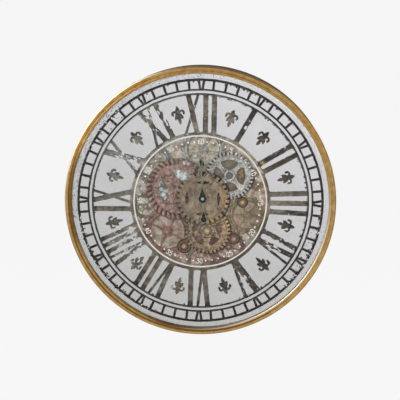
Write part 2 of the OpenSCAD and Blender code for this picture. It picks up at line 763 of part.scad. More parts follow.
// Two rubber pads keep the clock parallel to the wall
bumper_r = 8;
bumper_at = 0.62 * frame_r;
module wall_bumpers() color([0.1, 0.1, 0.1]) for (side = [-1, 1])
    move_to([side * bumper_at, -bumper_at]) slab(0, cover_d) circle(r = bumper_r);

// Minute arbor: a rod through the hour tube, with the cannon pinion on it
motion_d = case_front_d - case_t - motion_room + post_r;
motion_t = 1.4;
arbor_in = 1.6;
hour_wheel_d = motion_d + motion_t + 1.1;
hour_wheel_t = 1.5;
hand_gap = 0.8;
hand_space = 2.4;
hour_hand_d = tube_front_d + hand_gap;
minute_hand_d = hour_hand_d + hand_t + hand_space;
cap_h = 3.4;
cap_r = 3.8;
module minute_arbor() color("silver") move_to(axis_at) {
    back_d = movement_back_d + arbor_back - arbor_in;
    slab(back_d, minute_hand_d + hand_t + cap_h / 2 - back_d) circle(r = arbor_r);
    slab(motion_d - motion_t / 4, motion_t * 1.5) wheel(motion_module, cannon_teeth);
}

// Minute wheel and its pinion turn on the case's post
minute_wheel_turn = mesh_turn(motion_angle, 0, cannon_teeth, minute_wheel_teeth);
module minute_wheel() color("gold") move_to(axis_at + minute_wheel_at) difference() {
    union() {
        slab(motion_d, motion_t) wheel(motion_module, minute_wheel_teeth, minute_wheel_turn);
        slab(motion_d + motion_t, hour_wheel_d + hour_wheel_t - motion_d - motion_t)
            wheel(motion_module, minute_pinion_teeth);
    }
    slab(motion_d - over, motion_room + 2 * over) circle(r = post_r + run_c);
}

// Hour wheel with its tube, which turns in the threaded tube and round the minute arbor
hour_turn_at = mesh_turn(motion_angle + 180, 0, minute_pinion_teeth, hour_teeth);
module hour_wheel() color("khaki") move_to(axis_at) difference() {
    union() {
        slab(hour_wheel_d, hour_wheel_t) wheel(motion_module, hour_teeth, hour_turn_at);
        slab(hour_wheel_d, hour_hand_d + hand_t - hour_wheel_d) circle(r = tube_in_r - run_c);
    }
    slab(hour_wheel_d - over, hour_hand_d + hand_t - hour_wheel_d + 2 * over) circle(r = arbor_r + run_c);
}

// Setting knob on the back, with a stem and a pinion that meets the minute wheel
knob_r = 5;
knob_t = 2.8;
knob_grips = 14;
knob_turn = mesh_turn(motion_angle, minute_wheel_turn, minute_wheel_teeth, knob_teeth);
module setting_knob() color("white") move_to(axis_at + knob_at) {
    stem_d = movement_back_d - lid_t - slip_c;
    slab(stem_d - knob_t, knob_t) difference() {
        circle(r = knob_r);
        around(knob_grips) translate([knob_r, 0]) circle(r = slot_w);
    }
    slab(stem_d - over / 2, motion_d - stem_d + over) circle(r = knob_stem_r);
    slab(motion_d - motion_t / 4, motion_t * 1.5) wheel(motion_module, knob_teeth, knob_turn);
}

// The hands stand a little before twelve
minute_turn = 3.6;
hour_turn = minute_turn / 12;
hub_r = 10.4;
drop_r = 7.8;
drop_at = 47;

// Distances from the axis and half widths of the minute hand, as shares of its length
minute_hand_shares = [[0.03, 0.07], [0.1, 0.046], [0.16, 0.022], [0.23, 0.012], [0.44, 0.01], [0.475, 0.012],
    [0.52, 0.027], [0.56, 0.014], [0.61, 0.026], [0.65, 0.034], [0.685, 0.013], [0.715, 0.023], [0.75, 0.01],
    [0.8, 0.009], [1, 0.002]];
// Distances and radii of its two eyes
minute_eye_shares = [[0.52, 0.014], [0.715, 0.011]];
// The same for the thin tail, as shares of the drop's distance
tail_shares = [[0, 0.03], [0.58, 0.02], [0.72, 0.08], [0.85, 0.144]];
// And for the hour hand's stem and its leaf, as shares of its length
hour_stem_shares = [[0, 0.06], [0.12, 0.045], [0.24, 0.016], [0.56, 0.014], [0.6, 0.04]];
hour_leaf_shares = [[0.56, 0.02], [0.62, 0.05], [0.66, 0.075], [0.7, 0.052], [0.77, 0.06], [0.84, 0.044],
    [0.9, 0.05], [0.94, 0.022], [1, 0.004]];
hour_lobe_share = 0.045;
hour_lobe_at_share = [0.076, 0.665];
// Distance, length and width of the leaf's opening
hour_eye_share = 0.77;
hour_eye_shares = [0.13, 0.066];

// A blade that is the same on both sides, from distances and half widths along it
module blade(shares, length) polygon(length * concat([for (s = shares) [s[1], s[0]]],
    [for (i = [len(shares) - 1 : -1 : 0]) [-shares[i][1], shares[i][0]]]));

module minute_hand() color([0.1, 0.11, 0.12]) move_to(axis_at) slab(minute_hand_d, hand_t) rotate(minute_turn)
    difference() {
        union() {
            circle(r = hub_r);
            blade(minute_hand_shares, minute_hand_l);
            rotate(180) blade(tail_shares, drop_at);
            translate([0, -drop_at]) circle(r = drop_r);
        }
        circle(r = arbor_r);
        for (eye = minute_eye_shares) translate([0, eye[0] * minute_hand_l]) circle(r = eye[1] * minute_hand_l);
    }

module hour_hand() color([0.1, 0.11, 0.12]) move_to(axis_at) slab(hour_hand_d, hand_t) rotate(hour_turn)
    difference() {
        union() {
            circle(r = hub_r - drop_r / 4);
            blade(hour_stem_shares, hour_hand_l);
            blade(hour_leaf_shares, hour_hand_l);
            for (side = [-1, 1]) translate([side * hour_lobe_at_share[0], hour_lobe_at_share[1]] * hour_hand_l)
                difference() {
                    circle(r = hour_lobe_share * hour_hand_l);
                    translate([side * hour_lobe_share, -hour_lobe_share] * hour_hand_l / 2)
                        circle(r = hour_lobe_share * hour_hand_l / 2);
                }
        }
        circle(r = tube_in_r - run_c);
        translate([0, hour_eye_share * hour_hand_l]) rotate(90)
            lens(hour_eye_shares[0] * hour_hand_l, hour_eye_shares[1] * hour_hand_l);
    }

module hand_cap() color("silver") move_to(axis_at) difference() {
    at_depth(minute_hand_d + hand_t) rotate_extrude() {
        round_r = (cap_r * cap_r + cap_h * cap_h) / (2 * cap_h);
        intersection() {
            translate([0, cap_h - round_r]) circle(r = round_r);
            square([cap_r, cap_h]);
        }
    }
    slab(minute_hand_d + hand_t - over, cap_h / 2 + over) circle(r = arbor_r);
}

// Middle gear and the sleeve with the drive wheel that it turns on
sleeve_r = 6.5;
centre_teeth_on_show = 30;
centre_slot_d = 6.7;
centre_slot_w = 5.4;
centre_slot_count = 4;
centre_lens_at = 35.5;
centre_lens_l = 30;
centre_lens_w = 7.6;
sleeve_d = bridge_front_d + nut_t + slip_c;
module centre_gear() color([0.6, 0.47, 0.29]) move_to(axis_at) slab(centre_gear_d, gear_t) difference() {
    slotted_disc(centre_gear_r, centre_teeth_on_show, centre_slot_d, centre_slot_w);
    around(centre_slot_count) translate([0, centre_lens_at]) lens(centre_lens_l, centre_lens_w);
    circle(r = sleeve_r);
}

module centre_drive_wheel() color("burlywood") move_to(axis_at) difference() {
    union() {
        slab(wheel_d, wheel_t) wheel(train_module, centre_teeth, wheel_turn);
        slab(sleeve_d, centre_gear_front_d - sleeve_d) circle(r = sleeve_r);
    }
    slab(sleeve_d - over, centre_gear_front_d - sleeve_d + 2 * over) circle(r = tube_r + run_c);
}

// A drive wheel with round windows, fixed on its shaft
window_count = 6;
module drive_wheel(teeth, turn) slab(wheel_d, wheel_t) difference() {
    wheel(train_module, teeth, turn);
    circle(r = shaft_r);
    around(window_count) translate([train_module * teeth * 0.3, 0]) circle(r = train_module * teeth * 0.1);
}

// A gear shaft with a ring behind the bridge plate and a head in front of its gear
ring_r = 4.6;
ring_t = 0.8;
shaft_tail = 1;
module gear_shaft(head_r, head_t) {
    back_d = bridge_d - slip_c - ring_t - shaft_tail;
    slab(back_d, rear_gear_d + gear_t - back_d + head_t / 2) circle(r = shaft_r);
    slab(bridge_d - slip_c - ring_t, ring_t) circle(r = ring_r);
    slab(rear_gear_d + gear_t, head_t) circle(r = head_r);
}

gear_boss_r = 5.5;
module gear_boss() slab(board_front_d + bush_flange_t + slip_c, rear_gear_d - board_front_d - bush_flange_t)
    circle(r = gear_boss_r);
module shaft_bore() slab(board_front_d, rear_gear_d + gear_t - board_front_d + over) circle(r = shaft_r);

silver_teeth_on_show = 36;
silver_slot_d = 6.5;
silver_slot_w = 4.2;
silver_window_r = 35.8;
silver_bulge_r = 20;
silver_bulge_at = 34.5;
hub_ring_r = 9.6;
hub_ring_in_r = 7.7;
hub_ring_t = 1.4;
module silver_gear() color([0.72, 0.73, 0.73]) move_to(silver_at) difference() {
    union() {
        slab(rear_gear_d, gear_t) difference() {
            slotted_disc(silver_gear_r, silver_teeth_on_show, silver_slot_d, silver_slot_w);
            gear_windows(4, 0, silver_window_r, silver_bulge_r, silver_bulge_at);
        }
        tube_ring(rear_gear_d + gear_t, hub_ring_t, hub_ring_r, hub_ring_in_r);
        gear_boss();
    }
    shaft_bore();
}

module silver_shaft() color([0.25, 0.25, 0.27]) move_to(silver_at)
    gear_shaft(hub_ring_in_r - slip_c, hub_ring_t / 2);
module silver_drive_wheel() color("burlywood") move_to(silver_at) drive_wheel(silver_teeth, silver_turn);

lower_teeth_on_show = 34;
lower_slot_d = 6;
lower_slot_w = 4.2;
lower_window_count = 5;
lower_window_first = 16;
lower_window_r = 33.5;
lower_bulge_r = 12.5;
lower_bulge_at = 31.5;
lower_head_r = 11;
lower_head_t = 1;
lower_nut_r = 8.4;
lower_nut_h = 5.6;
module lower_gear() color([0.62, 0.5, 0.3]) move_to(lower_at) difference() {
    union() {
        slab(rear_gear_d, gear_t) difference() {
            slotted_disc(lower_gear_r, lower_teeth_on_show, lower_slot_d, lower_slot_w);
            gear_windows(lower_window_count, lower_window_first, lower_window_r, lower_bulge_r, lower_bulge_at);
        }
        gear_boss();
    }
    shaft_bore();
}

module lower_shaft() color([0.12, 0.12, 0.13]) move_to(lower_at) gear_shaft(lower_head_r, lower_head_t);
module lower_drive_wheel() color("burlywood") move_to(lower_at) drive_wheel(lower_teeth, lower_turn);

module lower_gear_nut() color("gold") move_to(lower_at) at_depth(rear_gear_d + gear_t + lower_head_t)
    rotate_extrude() {
        round_r = (lower_nut_r * lower_nut_r + lower_nut_h * lower_nut_h) / (2 * lower_nut_h);
        intersection() {
            translate([0, lower_nut_h - round_r]) circle(r = round_r);
            square([lower_nut_r, lower_nut_h]);
        }
    }

module motor_pinion() color("silver") move_to(motor_at) {
    back_d = bridge_d - motor_l / 2 + slip_c;
    slab(back_d, wheel_d + wheel_t - back_d) circle(r = motor_shaft_r);
    slab(wheel_d, wheel_t) wheel(train_module, pinion_teeth, pinion_turn);
}

// Roman numerals, drawn as strokes: a bar, a V and an X
numeral_gap = 8.4;
vx_w = 31;
thin_w = 5.4;
fillet_r = 4;
fillet_steps = 4;
letters = [["X", "I", "I"], ["I"], ["I", "I"], ["I", "I", "I"], ["I", "V"], ["V"], ["V", "I"],
    ["V", "I", "I"], ["V", "I", "I", "I"], ["I", "X"], ["X"], ["X", "I"]];
// How wide each numeral and its gaps are, and how far its strokes draw together towards the middle
wide_shares = [1, 1, 1, 1, 0.93, 1.3, 1, 0.97, 0.82, 1, 1.25, 1];
gap_shares = [1, 1, 1.45, 1.45, 1, 1, 1, 1, 1, 1, 1, 1];
fan_shares = [0.97, 1, 0.86, 0.84, 0.9, 1, 0.92, 0.96, 0.8, 0.95, 1, 0.95];
function letter_w(letter) = letter == "I" ? bar_w : vx_w;
function run_w(word, gap, count) = count == 0 ? 0 : letter_w(word[count - 1]) + gap + run_w(word, gap, count - 1);

// One side of a stroke, from foot to head, with a rounded corner at each end of it
function stroke_side(foot, head, half, side, round_r) =
    let (foot_y = sqrt(pow(numeral_in_r, 2) - pow(foot + side * (half + round_r), 2)),
        head_y = sqrt(pow(numeral_ring_r, 2) - pow(head + side * (half + round_r), 2)),
        ends = [for (k = [0 : fillet_steps]) let (a = 90 * k / fillet_steps) round_r * [1 - sin(a), 1 - cos(a)]],
        levels = concat([[foot_y - cream_gap / 2, round_r]], [for (e = ends) [foot_y + e[1], e[0]]],
            [for (k = [fillet_steps : -1 : 0]) [head_y - ends[k][1], ends[k][0]]], [[head_y + over, round_r]]))
    [for (l = levels) [foot + (head - foot) * (l[0] - numeral_in_r) / numeral_h + side * (half + l[1]), l[0]]];

module stroke(foot, head, width) {
    round_r = width < bar_w / 2 + thin_w / 2 ? fillet_r / 2 : fillet_r;
    left = stroke_side(foot, head, width / 2, -1, round_r);
    polygon(concat(stroke_side(foot, head, width / 2, 1, round_r),
        [for (i = [len(left) - 1 : -1 : 0]) left[i]]));
}

// A letter whose middle is at one place at the foot and another at the head
module letter(kind, foot, head, wide) {
    edge = vx_w * wide / 2;
    bar = bar_w * wide;
    thin = thin_w * wide;
    if (kind == "I") stroke(foot, head, min(bar, bar_w));
    if (kind == "V") {
        stroke(foot - bar * 0.12, head + bar / 2 - edge, bar);
        stroke(foot + bar * 0.24, head + edge - thin / 2, thin);
    }
    if (kind == "X") {
        stroke(foot + edge - bar / 2, head + bar / 2 - edge, bar);
        stroke(foot + thin / 2 - edge, head + edge - thin / 2, thin);
    }
}

module numeral(n) intersection() {
    word = letters[n];
    gap = numeral_gap * gap_shares[n];
    total = run_w(word, gap, len(word)) - gap;
    for (i = [0 : len(word) - 1])
        let (middle = (run_w(word, gap, i) + letter_w(word[i]) / 2 - total / 2) * wide_shares[n])
        letter(word[i], middle * fan_shares[n], middle, wide_shares[n]);
    circle(r = numeral_ring_r);
}

// A fleur-de-lis, its point outwards: a petal, two hooked curls and three lower leaves
petal_at_share = 0.27;
petal_shares = [0.46, 0.21];
trunk_shares = [0.18, 0.34];
curl_share = 0.165;
curl_w_share = 0.1;
curl_at_share = [0.2, 0.12];
curl_end_turn = -50;
leaf_at_share = [0.095, -0.03];
leaf_shares = [0.44, 0.21];
leaf_turn = 35;
foot_at_share = -0.27;
foot_shares = [0.46, 0.17];
module fleur() scale(fleur_h) {
    translate([0, petal_at_share]) rotate(90) lens(petal_shares[0], petal_shares[1]);
    square(trunk_shares, center = true);
    for (side = [0, 1]) mirror([side, 0]) {
        translate(curl_at_share) difference() {
            disc_ring(curl_share, curl_share - curl_w_share);
            scale(2 * curl_share)
                polygon([[0, 0], [-1, 0], [-1, -1], [0, -1], [cos(curl_end_turn), sin(curl_end_turn)]]);
        }
        translate(leaf_at_share) rotate(leaf_turn - 90) lens(leaf_shares[0], leaf_shares[1]);
    }
    translate([0, foot_at_share]) rotate(90) lens(foot_shares[0], foot_shares[1]);
}

// Where the fleurs stand, clockwise from the top: in the middle of each panel
fleur_turns = [19.5, 43.5, 73.5, 104.5, 134.5, 163.5, 193.5, 224.5, 255.5, 286, 314.5, 345.5];

// Marks of the minute track: single lines, and a narrow V at every fifth minute
five_wide = 6.2;
five_narrow = 2.4;
module track_marks() for (i = [0 : 59]) rotate(-6 * i) {
    if (i % 5 != 0) translate([-track_line_w / 2, track_in_r]) square([track_line_w, track_h]);
    else for (side = [-1, 1]) mirror([side > 0 ? 0 : 1, 0]) polygon([
        [five_wide - track_line_w / 2, track_out_r], [five_wide + track_line_w / 2, track_out_r],
        [five_narrow + track_line_w / 2, track_in_r], [five_narrow - track_line_w / 2, track_in_r]]);
}

ring_line_w = 3.4;
module line_ring(r, width) disc_ring(r + width / 2, r - width / 2);

// Mirror coating on the back of the glass. Its numerals, marks, lines and ornaments are clear
module mirror_coating() color([0.8, 0.8, 0.82]) slab(glass_d - film_t, film_t) difference() {
    disc_ring(glass_r - glass_lap / 3, numeral_in_r);
    line_ring(track_out_r, track_line_w);
    line_ring(track_in_r, ring_line_w);
    line_ring(numeral_ring_r, ring_line_w);
    track_marks();
    for (i = [0 : 11]) rotate(-30 * i) numeral(i);
    for (turn = fleur_turns) rotate(-turn) translate([0, (numeral_in_r + numeral_ring_r) / 2]) fleur();
}

// Small figures: strokes between points of a grid, as shares of the figure's height
digit_shares = [
    [[0.12, 0], [0, 0.2], [0, 0.8], [0.12, 1], [0.38, 1], [0.5, 0.8], [0.5, 0.2], [0.38, 0], [0.12, 0]],
    [[0.08, 0.8], [0.28, 1], [0.28, 0]],
    [[0, 0.82], [0.12, 1], [0.38, 1], [0.5, 0.82], [0.45, 0.55], [0, 0], [0.5, 0]],
    [[0, 1], [0.48, 1], [0.2, 0.6], [0.42, 0.55], [0.5, 0.3], [0.38, 0.03], [0.12, 0], [0, 0.15]],
    [[0.38, 0], [0.38, 1], [0, 0.3], [0.52, 0.3]],
    [[0.48, 1], [0.06, 1], [0.02, 0.58], [0.34, 0.62], [0.5, 0.42], [0.48, 0.14], [0.34, 0], [0, 0.04]],
    [[0.42, 1], [0.1, 0.72], [0, 0.35], [0.1, 0.03], [0.38, 0], [0.5, 0.25], [0.4, 0.53], [0.04, 0.48]]];
digit_mid_shares = [0.25, 0.5];
digit_step_shares = [0.36, 0];
digit_line_share = 0.13;
module digit(n) scale(figure_h) for (i = [0 : len(digit_shares[n]) - 2]) {
    a = digit_shares[n][i];
    b = digit_shares[n][i + 1];
    translate(a) {
        circle(r = digit_line_share / 2);
        rotate(atan2(b[1] - a[1], b[0] - a[0])) translate([0, -digit_line_share / 2])
            square([norm(b - a), digit_line_share]);
    }
    translate(b) circle(r = digit_line_share / 2);
}

// White print in the clear middle: a thin ring, minute dots, and figures at every fifth minute
dot_r = 1.75;
module dial_print() color("ivory") slab(glass_d - print_t, print_t) {
    line_ring(cream_r, cream_w);
    for (i = [0 : 59]) rotate(-6 * i) translate([0, figure_r])
        if (i % 5 != 0) circle(r = dot_r);
        else rotate(i > 15 && i < 45 ? 180 : 0) {
            value = i == 0 ? 60 : i;
            tens = floor(value / 10);
            if (tens == 0) translate(-digit_mid_shares * figure_h) digit(value);
            else {
                translate((-digit_mid_shares - digit_step_shares) * figure_h) digit(tens);
                translate((digit_step_shares - digit_mid_shares) * figure_h) digit(value % 10);
            }
        }
}

front_frame();
front_glass();
mirror_coating();
dial_print();
glass_gasket();
drum();
drum_flange();
frame_screws();
backdrop_board();
board_brackets();
board_screws();
bolt_washers();
brass_dome_bolts();
copper_dome_bolts();
steel_dome_bolt();
bridge_pillars();
bridge_screws();
bridge_plate();
shaft_bushes();
copper_gear();
movement_case();
movement_lid();
movement_washer();
centre_tube();
fixing_nut();
end_nut();
circuit_board();
drive_coil();
movement_cell();
movement_contacts();
drive_motor();
motor_screws();
battery_box();
motor_cells();
battery_contacts();
switch_body();
switch_slider();
motor_leads();
back_cover();
cover_screws();
hanger_plate();
hanger_screws();
wall_bumpers();
minute_arbor();
minute_hand();
hand_cap();
hour_wheel();
hour_hand();
minute_wheel();
setting_knob();
centre_gear();
centre_drive_wheel();
silver_gear();
silver_shaft();
silver_drive_wheel();
lower_gear();
lower_shaft();
lower_drive_wheel();
lower_gear_nut();
motor_pinion();
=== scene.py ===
# %% [markdown]
# # Gear wall clock
# The packed parts come in as a fixed frame: every node already lies where it belongs, in metres, with the dial
# facing -Y and the wall behind it at Y = 0. This script gives them their finishes and adds the pieces that need
# finer shapes than the solids have.

# %% Load the parts
from collections import Counter
from math import ceil, cos, pi, radians, sin
from random import Random
import bpy
import numpy as np
from mathutils import Matrix, Vector, geometry, noise as cloud_noise


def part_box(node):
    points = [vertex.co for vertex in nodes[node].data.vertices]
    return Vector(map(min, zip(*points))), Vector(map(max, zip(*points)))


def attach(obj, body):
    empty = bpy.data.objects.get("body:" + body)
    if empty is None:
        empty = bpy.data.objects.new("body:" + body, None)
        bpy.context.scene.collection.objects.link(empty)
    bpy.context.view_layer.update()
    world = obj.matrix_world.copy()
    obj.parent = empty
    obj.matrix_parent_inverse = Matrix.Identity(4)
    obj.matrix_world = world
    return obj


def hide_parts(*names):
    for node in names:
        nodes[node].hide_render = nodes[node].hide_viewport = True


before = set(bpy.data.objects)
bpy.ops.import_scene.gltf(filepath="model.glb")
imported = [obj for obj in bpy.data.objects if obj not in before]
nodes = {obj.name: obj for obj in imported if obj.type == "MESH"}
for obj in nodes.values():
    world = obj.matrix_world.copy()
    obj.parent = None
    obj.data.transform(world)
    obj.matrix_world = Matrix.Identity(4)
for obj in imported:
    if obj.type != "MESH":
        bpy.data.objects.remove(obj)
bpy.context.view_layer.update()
print(len(nodes), "nodes")

# %% [markdown]
# ## The view
# The clock is seen from a little above and a little to its right, through a long lens, so its circles look almost
# round. The lens, the distance and the two angles were found from the ellipses of the frame and the rings.

# %% Camera
AIM = Vector((-0.0003, -0.085, 0.0038))
VIEW_TURN, VIEW_RISE, VIEW_ROLL = radians(2.5), radians(9.3), radians(0.65)
VIEW_FAR, VIEW_LENS = 3.39, 138
towards = Vector((sin(VIEW_TURN) * cos(VIEW_RISE), -cos(VIEW_TURN) * cos(VIEW_RISE), sin(VIEW_RISE)))
lens = bpy.data.cameras.new("view")
lens.lens = VIEW_LENS
camera = bpy.data.objects.new("view", lens)
bpy.context.scene.collection.objects.link(camera)
turn = towards.to_track_quat("Z", "Y").to_matrix().to_4x4() @ Matrix.Rotation(VIEW_ROLL, 4, "Z")
camera.matrix_world = Matrix.Translation(AIM + VIEW_FAR * towards) @ turn
bpy.context.scene.camera = camera
bpy.context.scene.view_settings.view_transform = "Standard"
print("camera at", [round(v, 3) for v in camera.matrix_world.translation])

# %% [markdown]
# ## Shader sums in Python
# A finish is a small graph of nodes. Writing sums as Python expressions keeps them readable: `Value` wraps a
# socket, and each operator adds the Math node that it stands for. Every other node comes from `Graph.add`, which
# takes the node's type, its settings and the values or links of its sockets.

# %% Values that can be added and multiplied
class Value:
    """An output socket that can be used in sums."""

    def __init__(self, socket):
        self.socket = socket

    def math(self, operation, *terms):
        tree = self.socket.id_data
        node = tree.nodes.new("ShaderNodeMath")
        node.operation = operation
        for i, term in enumerate(terms):
            if isinstance(term, Value):
                tree.links.new(term.socket, node.inputs[i])
            else:
                node.inputs[i].default_value = term
        return Value(node.outputs[0])

    def __add__(self, other): return self.math("ADD", self, other)
    def __radd__(self, other): return self.math("ADD", other, self)
    def __sub__(self, other): return self.math("SUBTRACT", self, other)
    def __rsub__(self, other): return self.math("SUBTRACT", other, self)
    def __mul__(self, other): return self.math("MULTIPLY", self, other)
    def __rmul__(self, other): return self.math("MULTIPLY", other, self)
    def __truediv__(self, other): return self.math("DIVIDE", self, other)
    def __abs__(self): return self.math("ABSOLUTE", self)
    def high(self, other): return self.math("MAXIMUM", self, other)
    def low(self, other): return self.math("MINIMUM", self, other)
    def sine(self): return self.math("SINE", self)
    def root(self): return self.math("SQRT", self)

    def step(self, start, end):
        """0 below start, 1 above end, smooth between them. The two may be given the other way round."""
        tree = self.socket.id_data
        node = tree.nodes.new("ShaderNodeMapRange")
        node.interpolation_type = "SMOOTHSTEP"
        if start > end:
            start, end = end, start
            node.inputs["To Min"].default_value, node.inputs["To Max"].default_value = 1, 0
        node.inputs["From Min"].default_value, node.inputs["From Max"].default_value = start, end
        tree.links.new(self.socket, node.inputs["Value"])
        return Value(node.outputs["Result"])


print("a Value can be used in sums, and has", [name for name in vars(Value) if not name.startswith("_")])

# %% Colours
def tint(red, green, blue):
    """A colour as it is seen on a screen, 0 to 255, turned into the light values that shaders use."""
    return tuple((c / 255 / 12.92 if c < 10.3 else ((c / 255 + 0.055) / 1.055) ** 2.4)
                 for c in (red, green, blue)) + (1,)


def shade(tone, factor):
    """The same colour, made darker by a factor below 1."""
    return tint(*(min(255, factor * c) for c in tone))


print("the middle grey of a screen, 128, is", round(tint(128, 128, 128)[0], 3), "in light")

# %% Graphs and finishes
class Graph:
    """A tree of shader nodes under construction."""

    def __init__(self, tree):
        self.tree = tree
        tree.nodes.clear()

    def add(self, kind, settings=None, stops=None, **sockets):
        """A node. Its settings and the stops of a ramp come first, then the sockets by their names."""
        node = self.tree.nodes.new(kind)
        for name, value in (settings or {}).items():
            setattr(node, name, value)
        if stops:
            ramp = node.color_ramp
            while len(ramp.elements) < len(stops):
                ramp.elements.new(1)
            for element, (at, colour) in zip(ramp.elements, stops):
                element.position, element.color = at, colour
        for name, value in sockets.items():
            self.plug(node.inputs[name.replace("_", " ")], value)
        return node

    def plug(self, socket, value):
        if isinstance(value, Value):
            self.tree.links.new(value.socket, socket)
        else:
            socket.default_value = value

    def blend(self, amount, below, above):
        """Two shaders in one: the second is seen where `amount` is 1."""
        node = self.add("ShaderNodeMixShader")
        for socket, value in zip(node.inputs, (amount, below, above)):
            self.plug(socket, value)
        return Value(node.outputs[0])


class Finish(Graph):
    """A material under construction: its main shader, and the place on the object."""

    def __init__(self, name):
        self.material = bpy.data.materials.new(name)
        self.material.use_nodes = True
        super().__init__(self.material.node_tree)
        self.shader = self.add("ShaderNodeBsdfPrincipled")
        self.surface = self.add("ShaderNodeOutputMaterial", Surface=Value(self.shader.outputs[0])).inputs["Surface"]
        self.place = Value(self.add("ShaderNodeTexCoord").outputs["Object"])
        parts = self.add("ShaderNodeSeparateXYZ", Vector=self.place)
        self.x, self.y, self.z = (Value(parts.outputs[i]) for i in range(3))

    def noise(self, size, detail=3.0, rough=0.55):
        """Cloudy noise whose patches are about `size` metres wide."""
        node = self.add("ShaderNodeTexNoise", Vector=self.place, Scale=1 / size, Detail=detail, Roughness=rough)
        return Value(node.outputs["Fac"])

    def cells(self, size):
        """Distance from the nearest of many scattered points, in units of `size` metres."""
        return Value(self.add("ShaderNodeTexVoronoi", Vector=self.place, Scale=1 / size).outputs["Distance"])

    def side(self):
        """1 on walls that run towards the viewer, 0 on faces that lie parallel to the dial."""
        parts = self.add("ShaderNodeSeparateXYZ", Vector=Value(self.add("ShaderNodeNewGeometry").outputs["Normal"]))
        return abs(Value(parts.outputs[1])).step(0.75, 0.35)

    def ramp(self, amount, *stops):
        """A colour chosen by a number: each stop is a number from 0 to 1 and its colour."""
        return Value(self.add("ShaderNodeValToRGB", stops=stops, Fac=amount).outputs["Color"])

    def tones(self, amount, spread, *tones):
        """Colours laid evenly over the middle of a noise, `spread` each way from a half."""
        last = len(tones) - 1
        return self.ramp(amount, *((0.5 + spread * (2 * i / last - 1), tint(*tone)) for i, tone in enumerate(tones)))

    def mix(self, amount, first, second):
        """Two colours in one. The node has a set of sockets for each type of data: 6, 7 and 2 are its colours."""
        node = self.add("ShaderNodeMix", {"data_type": "RGBA"})
        for socket, value in zip((node.inputs[0], node.inputs[6], node.inputs[7]), (amount, first, second)):
            self.plug(socket, value)
        return Value(node.outputs[2])

    def far(self, across=0.0, up=0.0):
        """Distance from a point of the dial."""
        dx, dz = self.x - across, self.z - up
        return (dx * dx + dz * dz).root()

    def angle(self, across=0.0, up=0.0):
        """The angle round a point of the dial."""
        dx, dz = self.x - across, self.z - up
        return dz.math("ARCTAN2", dz, dx)

    def bump(self, height, depth):
        """A normal that follows a height, as if the surface rose by `depth` metres."""
        node = self.add("ShaderNodeBump", Height=height, Distance=depth, Strength=1.0)
        return Value(node.outputs["Normal"])

    def done(self, **sockets):
        """Sets the main shader's sockets and gives the material."""
        for name, value in sockets.items():
            self.plug(self.shader.inputs[name.replace("_", " ")], value)
        return self.material


FINISHED = set()


def dress(material, *names):
    """Gives a finish to CAD nodes."""
    for name in names:
        slots = nodes[name].data.materials
        slots.clear()
        slots.append(material)
    FINISHED.update(names)
    print(material.name, "on", ", ".join(names))


print(len(nodes), "nodes wait for a finish")

# %% [markdown]
# ## Gold of the frame
# Aged gold on pressed metal under a thin lacquer: a warm tone with a fine mottle and a little brown left in the low
# places. Painted shade darkens the groove between the beads on the lower side, and the inner bead at the bottom and at
# the left. Painted highlights make the gold pale on the outer bead at the upper left and inside the inner bead at the
# lower right, it is dull between the beads at the upper left, and the skirt behind is painted dark brown as shade.

# %% Frame finish
GLASS_FRONT, GLASS_BACK = (-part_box("front_glass")[i].y for i in range(2))
GROOVE_R, INNER_SLOPE_R, OUTER_SLOPE_R = 0.2912, 0.2895, 0.2945


def aged_gold():
    f = Finish("aged_gold")
    far, to_upper_left = f.far(), f.z - f.x
    mottle, fine = f.noise(0.012, 4, 0.62), f.noise(0.0018, 3, 0.6)
    tone = f.tones(mottle * 0.6 + fine * 0.4, 0.16, (174, 132, 68), (206, 163, 95), (226, 191, 128))
    # Painted shade: the groove between the beads is darkened on the lower side only.
    groove = abs(far - GROOVE_R).step(0.0022, 0.0008) * (f.z + f.x * 0.6).step(-0.06, -0.18)
    # Painted shade on the inner bead at the bottom and at the left.
    bottom, left = f.far(-0.02, -0.29).step(0.12, 0.05), f.far(-0.29, 0.0).step(0.14, 0.06)
    bead_shade = bottom.high(left) * far.step(OUTER_SLOPE_R, 0.2915) * 0.7
    colour = f.mix((groove * 0.85).high(bead_shade).high(fine.step(0.6, 0.72) * 0.4), tone, tint(106, 66, 14))
    # Painted highlights: the gold is made pale on the outer bead at the upper left and inside the inner bead at the
    # lower right.
    highlight_outer = far.step(0.296, 0.2985) * to_upper_left.step(0.1, 0.35) * 0.6
    highlight_inner = far.step(0.2896, 0.2872) * (f.x - f.z).step(0.2, 0.36)
    colour = f.mix(highlight_outer.high(highlight_inner) * 0.7, colour, tint(240, 228, 204))
    # Painted shade: the skirt behind the face is coloured dark brown.
    skirt = f.y.step(0.001 - GLASS_FRONT, 0.004 - GLASS_FRONT)
    colour = f.mix(skirt * 0.85, colour, tint(84, 64, 38))
    dull = abs(far - INNER_SLOPE_R).step(0.0035, 0.0015) * to_upper_left.step(0.08, 0.3)
    return f.done(Base_Color=colour, Metallic=1 - skirt * 0.8, Roughness=fine * 0.2 + 0.22 + dull * 0.35 + skirt * 0.4,
                  Coat_Weight=0.15, Coat_Roughness=0.12, Normal=f.bump(fine * 0.6 + mottle * 0.4, 0.00025))


gold = aged_gold()
dress(gold, "front_frame", "frame_screws")

# %% [markdown]
# ## The frame, swept by Geometry Nodes
# The frame is one pressed section carried round a circle: a low outer bead, a groove, a higher inner bead, and the
# skirt that goes over the drum. The section is a closed outline of points. A node group sweeps it round, adds the
# faint waviness of metal that was finished by hand, sharpens the corners and sets the material. Its inputs have
# names, so each can be changed.

